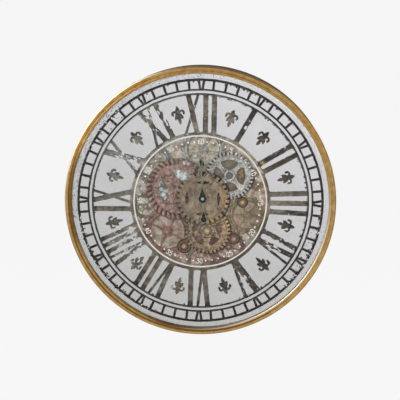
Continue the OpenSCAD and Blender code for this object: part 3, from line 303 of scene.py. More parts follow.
# %% Node groups and pieces grown by them
def grown(name, mesh, group, **values):
    """Runs a node group on a mesh and keeps the plain result, without the modifier."""
    source = bpy.data.objects.new(name + "_source", mesh)
    bpy.context.scene.collection.objects.link(source)
    modifier = source.modifiers.new("grow", "NODES")
    modifier.node_group = group
    for item in group.interface.items_tree:
        if item.in_out == "INPUT" and item.name.replace(" ", "_") in values:
            modifier[item.identifier] = values[item.name.replace(" ", "_")]
    result = source.evaluated_get(bpy.context.evaluated_depsgraph_get())
    piece = bpy.data.objects.new(name, bpy.data.meshes.new_from_object(result))
    bpy.data.objects.remove(source)
    bpy.context.scene.collection.objects.link(piece)
    print(name, len(piece.data.polygons), "faces")
    return piece


def ring_sweep():
    group = bpy.data.node_groups.new("ring_sweep", "GeometryNodeTree")
    face = group.interface
    face.new_socket(name="Section", in_out="INPUT", socket_type="NodeSocketGeometry")
    for name, kind, value in (("Radius", "Float", 0.28), ("Steps", "Int", 64), ("Wave depth", "Float", 0.0),
                              ("Wave size", "Float", 0.02), ("Seed", "Float", 1.0), ("Crease", "Float", 0.6)):
        face.new_socket(name=name, in_out="INPUT", socket_type="NodeSocket" + kind).default_value = value
    face.new_socket(name="Finish", in_out="INPUT", socket_type="NodeSocketMaterial")
    face.new_socket(name="Ring", in_out="OUTPUT", socket_type="NodeSocketGeometry")

    def node(kind, settings=None, terms=(), **links):
        """A node, its settings, its inputs by position, and its inputs by name."""
        made = group.nodes.new(kind)
        for key, value in (settings or {}).items():
            setattr(made, key, value)
        sockets = list(enumerate(terms)) + [(key.replace("_", " "), value) for key, value in links.items()]
        for key, value in sockets:
            if isinstance(value, bpy.types.NodeSocket):
                group.links.new(value, made.inputs[key])
            else:
                made.inputs[key].default_value = value
        return made

    given = group.nodes.new("NodeGroupInput").outputs
    section = node("GeometryNodeMeshToCurve", Mesh=given["Section"]).outputs[0]
    circle = node("GeometryNodeCurvePrimitiveCircle", Resolution=given["Steps"], Radius=given["Radius"]).outputs[0]
    ring = node("GeometryNodeCurveToMesh", Curve=circle, Profile_Curve=section).outputs[0]
    scale = node("ShaderNodeMath", {"operation": "DIVIDE"}, (1.0, given["Wave size"])).outputs[0]
    cloud = node("ShaderNodeTexNoise", {"noise_dimensions": "4D"}, W=given["Seed"], Scale=scale, Detail=2.0)
    dent = node("ShaderNodeMath", {"operation": "MULTIPLY"}, (cloud.outputs[0], given["Wave depth"])).outputs[0]
    inward = node("ShaderNodeMath", {"operation": "MULTIPLY"}, (dent, -1.0)).outputs[0]
    push = node("ShaderNodeVectorMath", {"operation": "SCALE"}, (node("GeometryNodeInputNormal").outputs[0],),
                Scale=inward).outputs[0]
    ring = node("GeometryNodeSetPosition", Geometry=ring, Offset=push).outputs[0]
    ring = node("GeometryNodeSetShadeSmooth", Geometry=ring, Shade_Smooth=True).outputs[0]
    sharp = node("FunctionNodeCompare", {"data_type": "FLOAT", "operation": "GREATER_THAN"},
                 (node("GeometryNodeInputMeshEdgeAngle").outputs[0], given["Crease"])).outputs[0]
    ring = node("GeometryNodeSetShadeSmooth", {"domain": "EDGE"}, Geometry=ring, Selection=sharp,
                Shade_Smooth=False).outputs[0]
    ring = node("GeometryNodeTransform", Geometry=ring, Rotation=(-pi / 2, 0, 0)).outputs[0]
    ring = node("GeometryNodeRealizeInstances", Geometry=ring).outputs[0]
    ring = node("GeometryNodeSetMaterial", Geometry=ring, Material=given["Finish"]).outputs[0]
    group.links.new(ring, group.nodes.new("NodeGroupOutput").inputs[0])
    return group


sweep = ring_sweep()
print(sweep.name, "has", len(sweep.nodes), "nodes")

# %% Frame ring
def arc(across, out, radius, start, end, steps=16):
    """Points of a bead, by angles in degrees from the direction away from the dial's centre."""
    turns = [radians(start + (end - start) * i / steps) for i in range(steps + 1)]
    return [(across + radius * cos(t), out + radius * sin(t)) for t in turns]


FRAME_R, FRAME_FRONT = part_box("front_frame")[1].x, -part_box("front_frame")[0].y
FACE_WIDE, GLASS_PLAY, BODY_DEEP, SKIRT_DEEP = 0.0155, 0.0004, 0.005, 0.022
SIGHT_R, SEAT_R = FRAME_R - FACE_WIDE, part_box("front_glass")[1].x + GLASS_PLAY
OUTER_BEAD, INNER_BEAD, OUTER_UP = 0.0045, 0.003, 0.0009
OUTER_TURN, INNER_TURN = (-38.9, 132.8), (3.8, 180)
SKIRT_IN, SKIRT_OUT = FRAME_R - 0.003, FRAME_R - 0.001
SKIRT_BACK, BODY_BACK = GLASS_FRONT - SKIRT_DEEP, GLASS_FRONT - BODY_DEEP
section = [(SIGHT_R, GLASS_FRONT), (SEAT_R, GLASS_FRONT), (SEAT_R, BODY_BACK), (SKIRT_IN, BODY_BACK),
           (SKIRT_IN, SKIRT_BACK), (SKIRT_OUT, SKIRT_BACK)]
section += arc(FRAME_R - OUTER_BEAD, GLASS_FRONT + OUTER_UP, OUTER_BEAD, *OUTER_TURN)
section += arc(SIGHT_R + INNER_BEAD, FRAME_FRONT - INNER_BEAD, INNER_BEAD, *INNER_TURN)
drawn = bpy.data.meshes.new("frame_section")
drawn.from_pydata([(far - SIGHT_R, out, 0) for far, out in section],
                  [(i, (i + 1) % len(section)) for i in range(len(section))], [])
frame_ring = grown("frame_ring", drawn, sweep, Radius=SIGHT_R, Steps=540, Wave_depth=0.00016, Wave_size=0.03,
                   Seed=4.0, Crease=0.6, Finish=gold)
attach(frame_ring, "case")
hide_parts("front_frame")

# %% [markdown]
# ## Glass
# Clear glass is two shaders mixed by Fresnel: it lets light straight through, and mirrors a little at the surface.

# %% Glass finish
def clear_glass():
    f = Finish("clear_glass")
    through = f.add("ShaderNodeBsdfTransparent", Color=tint(253, 254, 254))
    gloss = f.add("ShaderNodeBsdfAnisotropic", Color=(1, 1, 1, 1), Roughness=0.02)
    edge = f.add("ShaderNodeFresnel", IOR=1.2)
    f.plug(f.surface, f.blend(*(Value(node.outputs[0]) for node in (edge, through, gloss))))
    f.tree.nodes.remove(f.shader)
    return f.material


dress(clear_glass(), "front_glass")

# %% [markdown]
# ## Worn mirror
# The ring is a mirror coating on the back of the glass that has aged: a slightly lilac grey, with fine specks where it
# has come off, most of them near the rim. Its grey is painted lighter towards the top and the right, as a painted
# reflection. The specks are holes, so they are made with Alpha. Beside the frame, in the upper half, a narrow border
# is painted pale as edge light, and made dull so that it mirrors little.

# %% Mirror finish
def worn_mirror():
    f = Finish("worn_mirror")
    far = f.far()
    cloud, fleck = f.noise(0.05, 4, 0.6), f.noise(0.0034, 4, 0.65)
    # Painted reflection: the grey is lighter towards the top and the right.
    lit = cloud * 0.3 + f.z * 0.9 + f.x * 0.35 + 0.35
    colour = f.ramp(lit, (0.2, tint(211, 208, 205)), (0.5, tint(229, 225, 226)), (0.8, tint(248, 243, 246)))
    rim = far.step(0.262, 0.276)
    worn = (fleck + rim * 0.13 - f.x * 0.14 + f.z * 0.06).step(0.78, 0.8)
    # Painted edge light: a pale, dull border beside the frame in the upper half.
    pale_edge_light = far.step(0.2785, 0.2825) * f.z.step(-0.02, 0.12)
    colour = f.mix(pale_edge_light * 0.9, colour, tint(238, 236, 236))
    return f.done(Base_Color=colour, Metallic=1 - pale_edge_light * 0.9, Roughness=cloud * 0.1 + 0.16 + pale_edge_light * 0.4,
                  Alpha=1 - worn, Normal=f.bump(f.noise(0.02, 2), 0.0003))


# %% [markdown]
# ## A coating with worn edges
# On the real clock the coating has crumbled: edges are ragged, chips have come off, and flecks are left inside the
# numerals. The solid's outlines are taken from its front face, cut into short steps and pushed about by noise, and
# chips and flecks are small ragged rings of points. A constrained triangulation keeps every outline as edges, and
# each triangle is coating or not by which outlines its middle lies in.

# %% Outlines of flat faces
SAME_DEPTH, KEYS_PER_METRE = 2e-5, 2e5


def flat_outlines(name, depth):
    """Closed outlines, in the dial's plane, of a node's face that lies at a depth from the wall.

    An edge that two triangles share runs once each way, so it cancels out, and the outline's edges are left.
    """
    mesh, edges, spots = nodes[name].data, Counter(), {}
    mesh.calc_loop_triangles()
    for triangle in mesh.loop_triangles:
        corners = [mesh.vertices[i].co for i in triangle.vertices]
        if all(abs(c.y + depth) < SAME_DEPTH for c in corners):
            keys = [(round(c.x * KEYS_PER_METRE), round(c.z * KEYS_PER_METRE)) for c in corners]
            spots.update((k, Vector((c.x, c.z))) for k, c in zip(keys, corners))
            edges.update(zip(keys, keys[1:] + keys[:1]))
            edges.subtract(zip(keys[1:] + keys[:1], keys))
    after = {a: b for (a, b), times in edges.items() if times > 0}
    loops = []
    while after:
        here, loop = next(iter(after)), []
        while here in after:
            loop.append(spots[here])
            here = after.pop(here)
        loops.append(loop)
    return loops


def paced(loop, step):
    """An outline with points added, so that no point is farther than `step` from the next."""
    points = []
    for a, b in zip(loop, loop[1:] + loop[:1]):
        parts = max(1, ceil((b - a).length / step))
        points += [a.lerp(b, k / parts) for k in range(parts)]
    return points


def sided(points):
    """Each point of an outline, with the direction that leads away from the solid there."""
    for before, here, after in zip(points[-1:] + points[:-1], points, points[1:] + points[:1]):
        along = (after - before).normalized()
        yield here, Vector((along.y, -along.x))


outlines = flat_outlines("mirror_coating", GLASS_BACK)
print(len(outlines), "outlines,", sum(map(len, outlines)), "points")

# %% How worn each place is
# Each worn place: across, up, reach and force.
WORN_SPOTS = [(-0.1, 0.185, 0.06, 0.9), (-0.16, 0.09, 0.05, 0.9), (-0.15, -0.098, 0.075, 1.0),
              (-0.07, -0.19, 0.05, 0.5), (0.165, -0.095, 0.055, 0.8), (0.095, -0.18, 0.06, 0.6),
              (0.0, 0.2, 0.045, 0.45), (0.12, 0.11, 0.04, 0.3), (-0.23, 0.02, 0.05, 0.35),
              (0.03, -0.22, 0.05, 0.3), (0.105, 0.165, 0.03, 0.5), (0.175, 0.11, 0.04, 0.5),
              (0.2, 0.0, 0.03, 0.5)]


def wear(point):
    """0 where the coating is sound, about 1 where most of it has crumbled."""
    near = max(force * max(0.0, 1 - (point - Vector((x, z))).length / reach) for x, z, reach, force in WORN_SPOTS)
    return min(1.0, near * 1.5)


def around(clock, far):
    """The point of the dial at an angle, clockwise from the top in degrees, and a distance."""
    return far * Vector((sin(radians(clock)), cos(radians(clock))))


print("wear halfway out, by the hour:", [round(wear(around(30 * hour, 0.195)), 1) for hour in range(1, 13)])

# %% Ragged outlines
RAGGED_STEP, WORN_BACK = 0.0014, 0.0004


def ragged(loop):
    """The outline worn back a little everywhere, and unevenly."""
    points = []
    for p, out in sided(paced(loop, RAGGED_STEP)):
        coarse = cloud_noise.noise(Vector((p.x * 140, p.y * 140, 1.3)))
        fine = cloud_noise.noise(Vector((p.x * 420, p.y * 420, 7.1)))
        points.append(p + out * ((coarse * 0.0003 + fine * 0.0004) * (1 + 2 * wear(p)) - WORN_BACK))
    return points


ragged_outlines = [ragged(loop) for loop in outlines]
print(sum(map(len, ragged_outlines)), "points after the wear")

# %% Chips and flecks
CHIP_STEP = 0.002


def blot(spot, size, rng, stretch=1.0):
    """A small ragged ring of points, drawn out along the line to the dial's centre."""
    count = rng.randint(5, 8)
    out = spot.normalized()
    side = Vector((-out.y, out.x))
    turns = [2 * pi * k / count for k in range(count)]
    return [spot + size * rng.uniform(0.5, 1.4) * (stretch * cos(t) * out + sin(t) * side) for t in turns]


def scattered(count, seed, chance, smallest, largest, inner, outer, stretch=1.0):
    """Rings of points strewn between two radii, each kept by the chance that its place has."""
    rng, blots = Random(seed), []
    while len(blots) < count:
        spot = around(rng.uniform(0, 360), rng.uniform(inner, outer))
        if rng.random() < chance(spot):
            blots.append(blot(spot, rng.uniform(smallest, largest), rng, stretch))
    return blots


def crumbled(seed, chance, smallest, largest):
    """Chips at the edges of the numerals, the flowers and the track."""
    rng, blots = Random(seed), []
    for p in (p for loop in outlines for p in paced(loop, CHIP_STEP)):
        if rng.random() < chance(p):
            blots.append(blot(p, rng.uniform(smallest, largest), rng))
    return blots


def bites(seed, inner, outer, sectors):
    """Chips along one ring: for each sector its first and last angle and the number of chips."""
    rng, blots = Random(seed), []
    for first, last, count in sectors:
        for _ in range(count):
            spot = around(rng.uniform(first, last), rng.uniform(inner, outer))
            smallest, largest = (0.0006, 0.0012) if rng.random() < 0.6 else (0.0014, 0.0025)
            blots.append(blot(spot, rng.uniform(smallest, largest), rng))
    return blots


def upper_left(spot):
    """A chance that grows towards the upper left."""
    return 0.1 + max(0.0, (spot.y - spot.x) / spot.length - 0.3) * 0.7


RING_IN, PANEL_OUT, TRACK_IN, TRACK_OUT, RING_OUT = 0.1546, 0.237, 0.248, 0.27, 0.284
chips = crumbled(3, lambda p: 0.012 + wear(p) * 0.16, 0.0006, 0.0018)
chips += scattered(520, 5, upper_left, 0.0003, 0.0011, TRACK_OUT + 0.003, RING_OUT)
chips += bites(11, PANEL_OUT - 0.0026, PANEL_OUT - 0.0006,
               [(2, 60, 64), (60, 105, 34), (105, 160, 30), (180, 300, 34)])
chips += bites(12, TRACK_OUT - 0.0054, TRACK_OUT - 0.0028,
               [(0, 50, 46), (90, 135, 44), (200, 260, 26), (325, 360, 14)])
chips += bites(15, TRACK_OUT + 0.0002, TRACK_OUT + 0.003, [(195, 252, 44), (100, 130, 18), (300, 330, 12)])
chips += bites(13, TRACK_IN + 0.002, TRACK_OUT - 0.004, [(100, 132, 36), (300, 320, 10)])
flecks = scattered(420, 8, lambda p: wear(p) ** 1.5, 0.0006, 0.0018, RING_IN + 0.002, PANEL_OUT)
flecks += scattered(170, 9, lambda p: max(0.0, wear(p) - 0.5), 0.0012, 0.0026, RING_IN + 0.006, PANEL_OUT - 0.004, 2.2)
flecks += bites(14, TRACK_OUT - 0.002, TRACK_OUT + 0.002, [(100, 135, 26), (205, 262, 34), (290, 318, 16)])
print(len(chips), "chips,", len(flecks), "flecks")

# %% Triangles of the worn coating
CROSSINGS_AT_ONCE, SAME_POINT, GAP_TO_GLASS = 4_000_000, 1e-6, 0.00005


def inside(shape, middles):
    """Which points lie inside a closed outline: a ray from them crosses it an odd number of times."""
    ring = np.array(shape)
    (ax, ay), (bx, by) = ring.T[:, :, None], np.roll(ring, -1, 0).T[:, :, None]
    slope = (bx - ax) / np.where(by == ay, 1, by - ay)
    near = np.flatnonzero(np.all((middles >= ring.min(0)) & (middles <= ring.max(0)), axis=1))
    held = np.zeros(len(middles), bool)
    for some in np.array_split(near, len(near) * len(ring) // CROSSINGS_AT_ONCE + 1):
        x, y = middles[some].T
        crossed = ((ay > y) != (by > y)) & (x < slope * (y - ay) + ax)
        held[some] = crossed.sum(0) % 2 == 1
    return held


shapes = ragged_outlines + chips + flecks
points, edges = [], []
for shape in shapes:
    first, count = len(points), len(shape)
    edges += [(first + k, first + (k + 1) % count) for k in range(count)]
    points += shape
spots, _, triangles, *_ = geometry.delaunay_2d_cdt(points, edges, [], 0, SAME_POINT)
middles = np.array(spots)[np.array(triangles)].mean(1)
coated = np.zeros(len(triangles), bool)
for number, shape in enumerate(shapes):
    held = inside(shape, middles)
    if number < len(outlines):
        coated ^= held
    elif number < len(outlines) + len(chips):
        coated &= ~held
    else:
        coated |= held
kept = [t for t, keep in zip(triangles, coated) if keep]
SHEET_DEPTH = GLASS_BACK - GAP_TO_GLASS
sheet = bpy.data.meshes.new("mirror_coating_worn")
sheet.from_pydata([(p.x, -SHEET_DEPTH, p.y) for p in spots], [], [t[::-1] for t in kept])
sheet.materials.append(worn_mirror())
coating = bpy.data.objects.new("mirror_coating_worn", sheet)
bpy.context.scene.collection.objects.link(coating)
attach(coating, "case")
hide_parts("mirror_coating")
FINISHED.add("mirror_coating")
print(len(kept), "triangles of coating, facing", sheet.polygons[0].normal.y)

# %% [markdown]
# ## White print on the glass
# A thin screen print, slightly worn. The ring round the minute dots is a little greyer than the dots and figures.

# %% Print finish
def cream_print():
    f = Finish("cream_print")
    grain = f.noise(0.002, 3)
    colour = f.ramp(grain, (0.3, tint(212, 206, 196)), (0.55, tint(246, 242, 235)))
    ring = f.far().step(0.142, 0.144)
    colour = f.mix(ring * 0.8, colour, tint(212, 205, 198))
    return f.done(Base_Color=colour, Roughness=0.6, Alpha=1 - grain.step(0.68, 0.74) * 0.7)


dress(cream_print(), "dial_print")

# %% [markdown]
# ## Printed board
# Behind the gears is a board with a print: a mottled beige ground with pale and red-brown patches, and flat drawings
# of spoked wheels. Each wheel is drawn with sums in polar coordinates round its own centre: a toothed rim, spokes
# and a hub. The layout is a free one. The windows of the gears show the board in another tone behind each gear, and
# painted shadows lie on it behind their rims and round their windows, with a painted pool of light in the copper
# gear's top window. All of the board is painted darker under the mirror ring, as shade, but less so at the left, level
# with the axis and at the top, where light falls in through the clear numerals.

# %% Wheels of the print
AXIS, SILVER, LOWER, COPPER = (0.0045, 0.0025), (0.0631882, 0.0538779), (0.0149380, -0.0717701), (-0.0537, 0.0215)
LEFT_WHEEL, RIGHT_WHEEL = (-0.075, -0.076), (0.103, -0.035)
# Each wheel: its centre, size, teeth, spokes, the lean of its spokes, and its colour.
WHEELS = [((0.004, 0.112), 0.05, 28, 5, 0.4, (190, 187, 178)), (LEFT_WHEEL, 0.056, 26, 4, 0.9, (170, 122, 108)),
          (RIGHT_WHEEL, 0.045, 24, 6, 0.2, (172, 148, 110)), ((0.062, -0.108), 0.04, 22, 5, 0.7, (146, 108, 102)),
          ((-0.112, 0.083), 0.047, 30, 5, 0.1, (178, 176, 168)), ((0.12, 0.062), 0.038, 20, 4, 0.5, (184, 152, 104)),
          ((-0.125, -0.02), 0.03, 18, 4, 1.1, (160, 148, 126)), ((0.0, -0.14), 0.034, 20, 6, 0.3, (158, 134, 118))]


def drawn_wheel(f, across, up, size, teeth, spokes, lean):
    """The flat shape of a printed wheel, and the dark lines along its edges."""
    far, angle = f.far(across, up), f.angle(across, up)
    edge = (angle * teeth).sine().step(-0.3, 0.3) * (0.09 * size) + 0.91 * size
    disc = (edge - far).step(0.0, 0.0006)
    rim = far.step(0.68 * size, 0.7 * size)
    arm = (abs((angle * (spokes / 2) + lean).sine()) * far).step(0.085 * size, 0.075 * size)
    hub = far.step(0.24 * size, 0.22 * size)
    bore = far.step(0.07 * size, 0.09 * size)
    lines = abs(far - 0.72 * size).step(0.0011, 0.0004).high(abs(far - 0.84 * size).step(0.0009, 0.0003))
    lines = lines.high(abs(far - 0.17 * size).step(0.0009, 0.0003)).high((edge - far).step(0.0018, 0.0008))
    return disc * rim.high(arm).high(hub) * bore, disc * lines


def painted_wheels(f, colour, mid, fine):
    """The wheels over the ground, each with its shadow a little lower and to the right."""
    for (across, up), size, teeth, spokes, lean, tone in WHEELS:
        mark, lines = drawn_wheel(f, across, up, size, teeth, spokes, lean)
        shadow, _ = drawn_wheel(f, across + 0.0014, up - 0.0018, size, teeth, spokes, lean)
        colour = f.mix(shadow * 0.6, colour, tint(60, 50, 42))
        paint = f.mix((mid * 0.5 + fine * 0.5).step(0.42, 0.58), shade(tone, 0.62), tint(*tone))
        colour = f.mix(mark * 0.9, colour, paint)
        colour = f.mix(lines * 0.75, colour, shade(tone, 0.35))
    return colour


print(len(WHEELS), "drawn wheels")

# %% Ground, painted shadow and shade of the board
# Each ring of painted shadow: its centre and size, where it fades out and in as shares of that size, and its strength.
RIMS = [(AXIS, 0.06), (SILVER, 0.053), (LOWER, 0.052), (COPPER, 0.0685)]
WINDOWS = [(SILVER, 0.0385), (COPPER, 0.047)]
PAINTED_SHADOW_RINGS = [(centre, size, (1.06, 0.99), (0.76, 0.86), 0.8) for centre, size in RIMS]
PAINTED_SHADOW_RINGS += [(centre, size, (1.3, 1.2), (0.88, 1.0), 0.7) for centre, size in WINDOWS]


def printed_ground(f, broad, mid, fine, grain):
    """Beige with grey, red-brown and pale patches, stripes behind the silver gear, and a wash under two wheels."""
    ground = f.tones(grain, 0.12, (102, 90, 77), (164, 149, 131), (204, 191, 172), (236, 228, 213))
    ground = f.mix(f.noise(0.045, 3).step(0.5, 0.62) * 0.4, ground, tint(152, 150, 136))
    red = (f.noise(0.06, 3, 0.7) - f.z * 0.9 + f.x * 0.25).step(0.46, 0.6)
    ground = f.mix(red * 0.65, ground, f.mix(mid.step(0.4, 0.6), tint(112, 76, 70), tint(184, 142, 130)))
    pale = (mid + broad * 0.5 - f.x * 0.9 + f.z * 0.5).step(0.84, 0.97)
    ground = f.mix(pale * 0.55, ground, f.mix(fine.step(0.42, 0.58), tint(150, 156, 155), tint(218, 223, 222)))
    stripes = ((f.x * 0.6 + f.z * 0.8 + mid * 0.004) * (2 * pi / 0.0042)).sine().step(-0.6, 0.8)
    striped = f.mix(stripes, tint(74, 62, 52), tint(132, 117, 98))
    ground = f.mix(f.far(*SILVER).step(0.046, 0.042) * 0.8, ground, striped)
    ground = f.mix(f.far(*RIGHT_WHEEL).step(0.046, 0.03) * 0.5, ground, tint(116, 104, 78))
    return f.mix(f.far(*LEFT_WHEEL).step(0.056, 0.035) * 0.3, ground, tint(126, 108, 88))


def behind_gears(f, colour, mid):
    """The tones that the gears' windows show, the painted shadows of the gears, and a painted pool of light."""
    earth, bronze = f.mix(mid, tint(66, 44, 38), tint(120, 92, 78)), f.mix(mid, tint(62, 48, 38), tint(120, 98, 76))
    flakes = f.ramp(f.cells(0.011), (0.15, tint(212, 217, 215)), (0.45, tint(166, 169, 164)), (0.62, tint(78, 80, 76)))
    colour = f.mix(f.far(*LOWER).step(0.042, 0.036) * 0.7, colour, earth)
    colour = f.mix(f.far(*COPPER).step(0.05, 0.046) * 0.9, colour, flakes)
    colour = f.mix(f.far(*AXIS).step(0.05, 0.046) * 0.75, colour, bronze)
    # Painted shadows behind the rims and round the windows, set a little lower and to the right.
    for (across, up), size, outer, inner, amount in PAINTED_SHADOW_RINGS:
        far = f.far(across + 0.0012, up - 0.0016)
        painted_shadow = far.step(size * outer[0], size * outer[1]) * far.step(size * inner[0], size * inner[1])
        colour = f.mix(painted_shadow * amount, colour, tint(44, 37, 32))
    # A painted pool of light in the copper gear's top window.
    light = f.far(-0.04, 0.062).step(0.026, 0.018)
    return f.mix(light * 0.75, colour, f.mix(mid.step(0.42, 0.56), tint(150, 154, 152), tint(236, 240, 240)))


def under_mirror(f, colour, grain):
    """The board in the shade of the mirror ring: darkest near the frame and in patches."""
    far = f.far()
    shaded = far.step(0.1485, 0.153) * (f.far(-0.168, 0.075).step(0.03, 0.085) * 0.85 + 0.15)
    deep = far.step(0.232, 0.24).high((f.noise(0.05, 2, 0.5) + f.z * 0.3).step(0.52, 0.62) * 0.75)
    lit = f.x.step(0.1, -0.05).high(abs(f.z).step(0.045, 0.02)).high(f.far(0.01, 0.18).step(0.08, 0.04) * 1.15)
    gloom = f.mix(lit * 0.85,
                  f.tones(grain, 0.12, (50, 46, 42), (90, 83, 74), (132, 123, 109)),
                  f.tones(grain, 0.12, (84, 77, 68), (150, 139, 124), (196, 184, 165)))
    gloom = f.mix(deep, gloom, f.tones(grain, 0.12, (36, 35, 35), (58, 55, 53), (88, 83, 77)))
    return f.mix(shaded * 0.88, colour, gloom)


print(len(PAINTED_SHADOW_RINGS), "rings of soot")

# %% Board finish
def printed_board():
    f = Finish("printed_board")
    broad, mid, fine = f.noise(0.07, 4, 0.6), f.noise(0.014, 5, 0.66), f.noise(0.0045, 3, 0.6)
    grain = mid * 0.55 + broad * 0.2 + fine * 0.25
    colour = painted_wheels(f, printed_ground(f, broad, mid, fine, grain), mid, fine)
    colour = under_mirror(f, behind_gears(f, colour, mid), grain)
    colour = f.mix(fine.step(0.56, 0.66) * 0.5, colour, tint(62, 53, 45))
    sunlit = f.far(0.1, 0.095).step(0.045, 0.015) * (1 - f.far(*SILVER).step(0.046, 0.042))
    colour = f.mix(sunlit * 0.3, colour, tint(236, 226, 208))
    return f.done(Base_Color=colour, Roughness=fine * 0.2 + 0.55, Normal=f.bump(fine, 0.0003))


dress(printed_board(), "backdrop_board")

# %% [markdown]
# ## Gears
# The gears on show are cut from plate and aged: each has its own metal colour, a darker mottle, and here and there a
# turned ring. On top lie painted light and shade: a painted highlight on the teeth of one side, painted shade on the
# other side, at the roots of the teeth and on the walls between them, and a painted shadow where the middle gear lies
# over it. `plate_gear` makes one finish for each, round the gear's own centre.

# %% Gear finishes
def plate_gear(name, centre, tones, mottle_size, size, bright, lean, rings=(), under=True):
    """`lean` points, across and up, to the teeth with a painted highlight; away from it lies a little painted shade.

    `under` lays a painted shadow on the part of a gear that the middle gear covers.
    """
    f = Finish(name)
    far = f.far(*centre)
    mottle, fine = f.noise(mottle_size, 4, 0.62), f.noise(0.003, 3, 0.6)
    colour = f.tones(mottle * 0.55 + fine * 0.45, 0.12, *tones)
    toward_highlight = ((f.x - centre[0]) * lean[0] + (f.z - centre[1]) * lean[1]) / size
    # Painted highlight on the teeth of the side that `lean` points to, and painted shade on the far side.
    patch = f.noise(0.02, 2, 0.5).step(0.4, 0.56) * far.step(size * 0.6, size * 0.94) * toward_highlight.step(-0.5, 0.8)
    colour = f.mix(patch * 0.8, colour, f.mix(fine.step(0.4, 0.6), shade(bright, 0.78), tint(*bright)))
    colour = f.mix(toward_highlight.step(0.3, -0.9) * 0.25, colour, tint(*tones[0]))
    colour = f.mix(f.cells(0.0038).step(0.36, 0.16) * mottle.step(0.36, 0.54) * 0.7, colour, shade(tones[0], 0.75))
    height = fine * 0.5 + mottle * 0.3
    for ring in rings:
        line = abs(far - ring).step(0.0012, 0.0004)
        colour = f.mix(line * 0.6, colour, shade(tones[0], 0.5))
        height = height - line
    # Painted shade at the roots of the teeth.
    toothed = far.step(size * 0.9, size * 0.86) * far.step(size * 0.76, size * 0.84)
    colour = f.mix(toothed * 0.25, colour, shade(tones[0], 0.6))
    # Painted shadow of the middle gear.
    if under:
        middle_gear_shadow = f.far(AXIS[0] + 0.001, AXIS[1] - 0.001).step(0.0645, 0.058)
        colour = f.mix(middle_gear_shadow * 0.65, colour, shade(tones[0], 0.45))
    # The walls between the teeth are painted dark as shade.
    colour = f.mix(f.side() * 0.9, colour, shade(tones[0], 0.3))
    return f.done(Base_Color=colour, Metallic=0.65, Roughness=fine * 0.25 + 0.35, Normal=f.bump(height, 0.0004))


dress(plate_gear("gold_middle", AXIS, [(94, 78, 65), (140, 121, 103), (170, 151, 128), (198, 176, 144)], 0.016, 0.0585,
                 (222, 180, 118), (0.8, -0.3), under=False), "centre_gear")
dress(plate_gear("silver_plate", SILVER, [(104, 99, 94), (176, 171, 165), (212, 207, 200), (242, 237, 231)], 0.009,
                 0.053, (238, 235, 230), (0.6, -0.8), rings=(0.0135,)), "silver_gear")
dress(plate_gear("gold_lower", LOWER, [(90, 74, 65), (142, 120, 102), (182, 156, 127), (218, 188, 148)], 0.012, 0.052,
                 (240, 200, 144), (0.95, 0.1), rings=(0.0165,)), "lower_gear")
dress(plate_gear("copper_plate", COPPER, [(88, 70, 63), (142, 114, 104), (180, 149, 137), (220, 180, 164)], 0.008,
                 0.0685, (236, 178, 160), (-0.8, 0.3)), "copper_gear")

# %% [markdown]
# ## Bolts, shafts and hands
# Small turned parts are polished metal with fine scratches. The bolts stand on washers whose outer edge is dark.

# %% Small metal finishes
def turned_metal(name, tone, rough, dirt=0.3, metallic=1.0):
    """Polished metal, with dark patches as strong as `dirt` says."""
    f = Finish(name)
    fine, patch = f.noise(0.0009, 3, 0.6), f.noise(0.006, 3)
    colour = f.mix(patch.step(0.45, 0.7) * dirt, tint(*tone), shade(tone, 0.55))
    return f.done(Base_Color=colour, Metallic=metallic, Roughness=fine * 0.15 + rough, Normal=f.bump(fine, 0.0001))


# Each washer: across, up and radius.
WASHERS = [(0.0933, -0.0069, 0.0122), (0.1374, 0.0837, 0.0122), (-0.0366, -0.1095, 0.016), (0.0753, -0.0906, 0.0128),
           (-0.0138, 0.096, 0.0058)]
FAR_OFF = 9.0


def ringed_washers():
    """Every washer in one finish: `share` is the distance from the nearest one's centre, in shares of its radius."""
    f = Finish("ringed_washers")
    share = Value(f.add("ShaderNodeValue").outputs[0])
    share.socket.default_value = FAR_OFF
    for across, up, size in WASHERS:
        share = share.low(f.far(across, up) / size)
    fine = f.noise(0.003, 3, 0.6)
    colour = f.tones(fine, 0.15, (74, 60, 46), (112, 94, 70), (146, 124, 92))
    colour = f.mix(share.step(0.82, 0.88).high(share.step(0.66, 0.6) * 0.6), colour, tint(34, 29, 26))
    return f.done(Base_Color=colour, Metallic=0.4, Roughness=fine * 0.2 + 0.35, Normal=f.bump(fine, 0.0002))


def hub_end():
    """The end of the silver gear's shaft: grey, with a dark ring round it."""
    f = Finish("hub_end")
    fine = f.noise(0.003, 3, 0.6)
    ring = f.far(*SILVER).step(0.0056, 0.0064)
    colour = f.mix(ring, f.tones(fine, 0.15, (100, 94, 88), (132, 126, 119)), tint(48, 46, 44))
    return f.done(Base_Color=colour, Metallic=0.5, Roughness=fine * 0.2 + 0.35, Normal=f.bump(fine, 0.0002))


dress(turned_metal("brass_dome", (232, 200, 144), 0.24, 0.3, 0.55), "brass_dome_bolts")
dress(turned_metal("nut_brass", (216, 196, 154), 0.22, 0.3, 0.6), "lower_gear_nut")
dress(turned_metal("copper_dome", (222, 164, 146), 0.26, 0.2, 0.5), "copper_dome_bolts")
dress(turned_metal("steel_dome", (226, 223, 216), 0.25, 0.3, 0.5), "steel_dome_bolt", "hand_cap")
dress(turned_metal("bright_steel", (190, 190, 192), 0.3), "minute_arbor", "motor_pinion")
dress(turned_metal("brass_fittings", (186, 150, 86), 0.32), "centre_tube", "fixing_nut", "end_nut", "minute_wheel",
      "shaft_bushes")
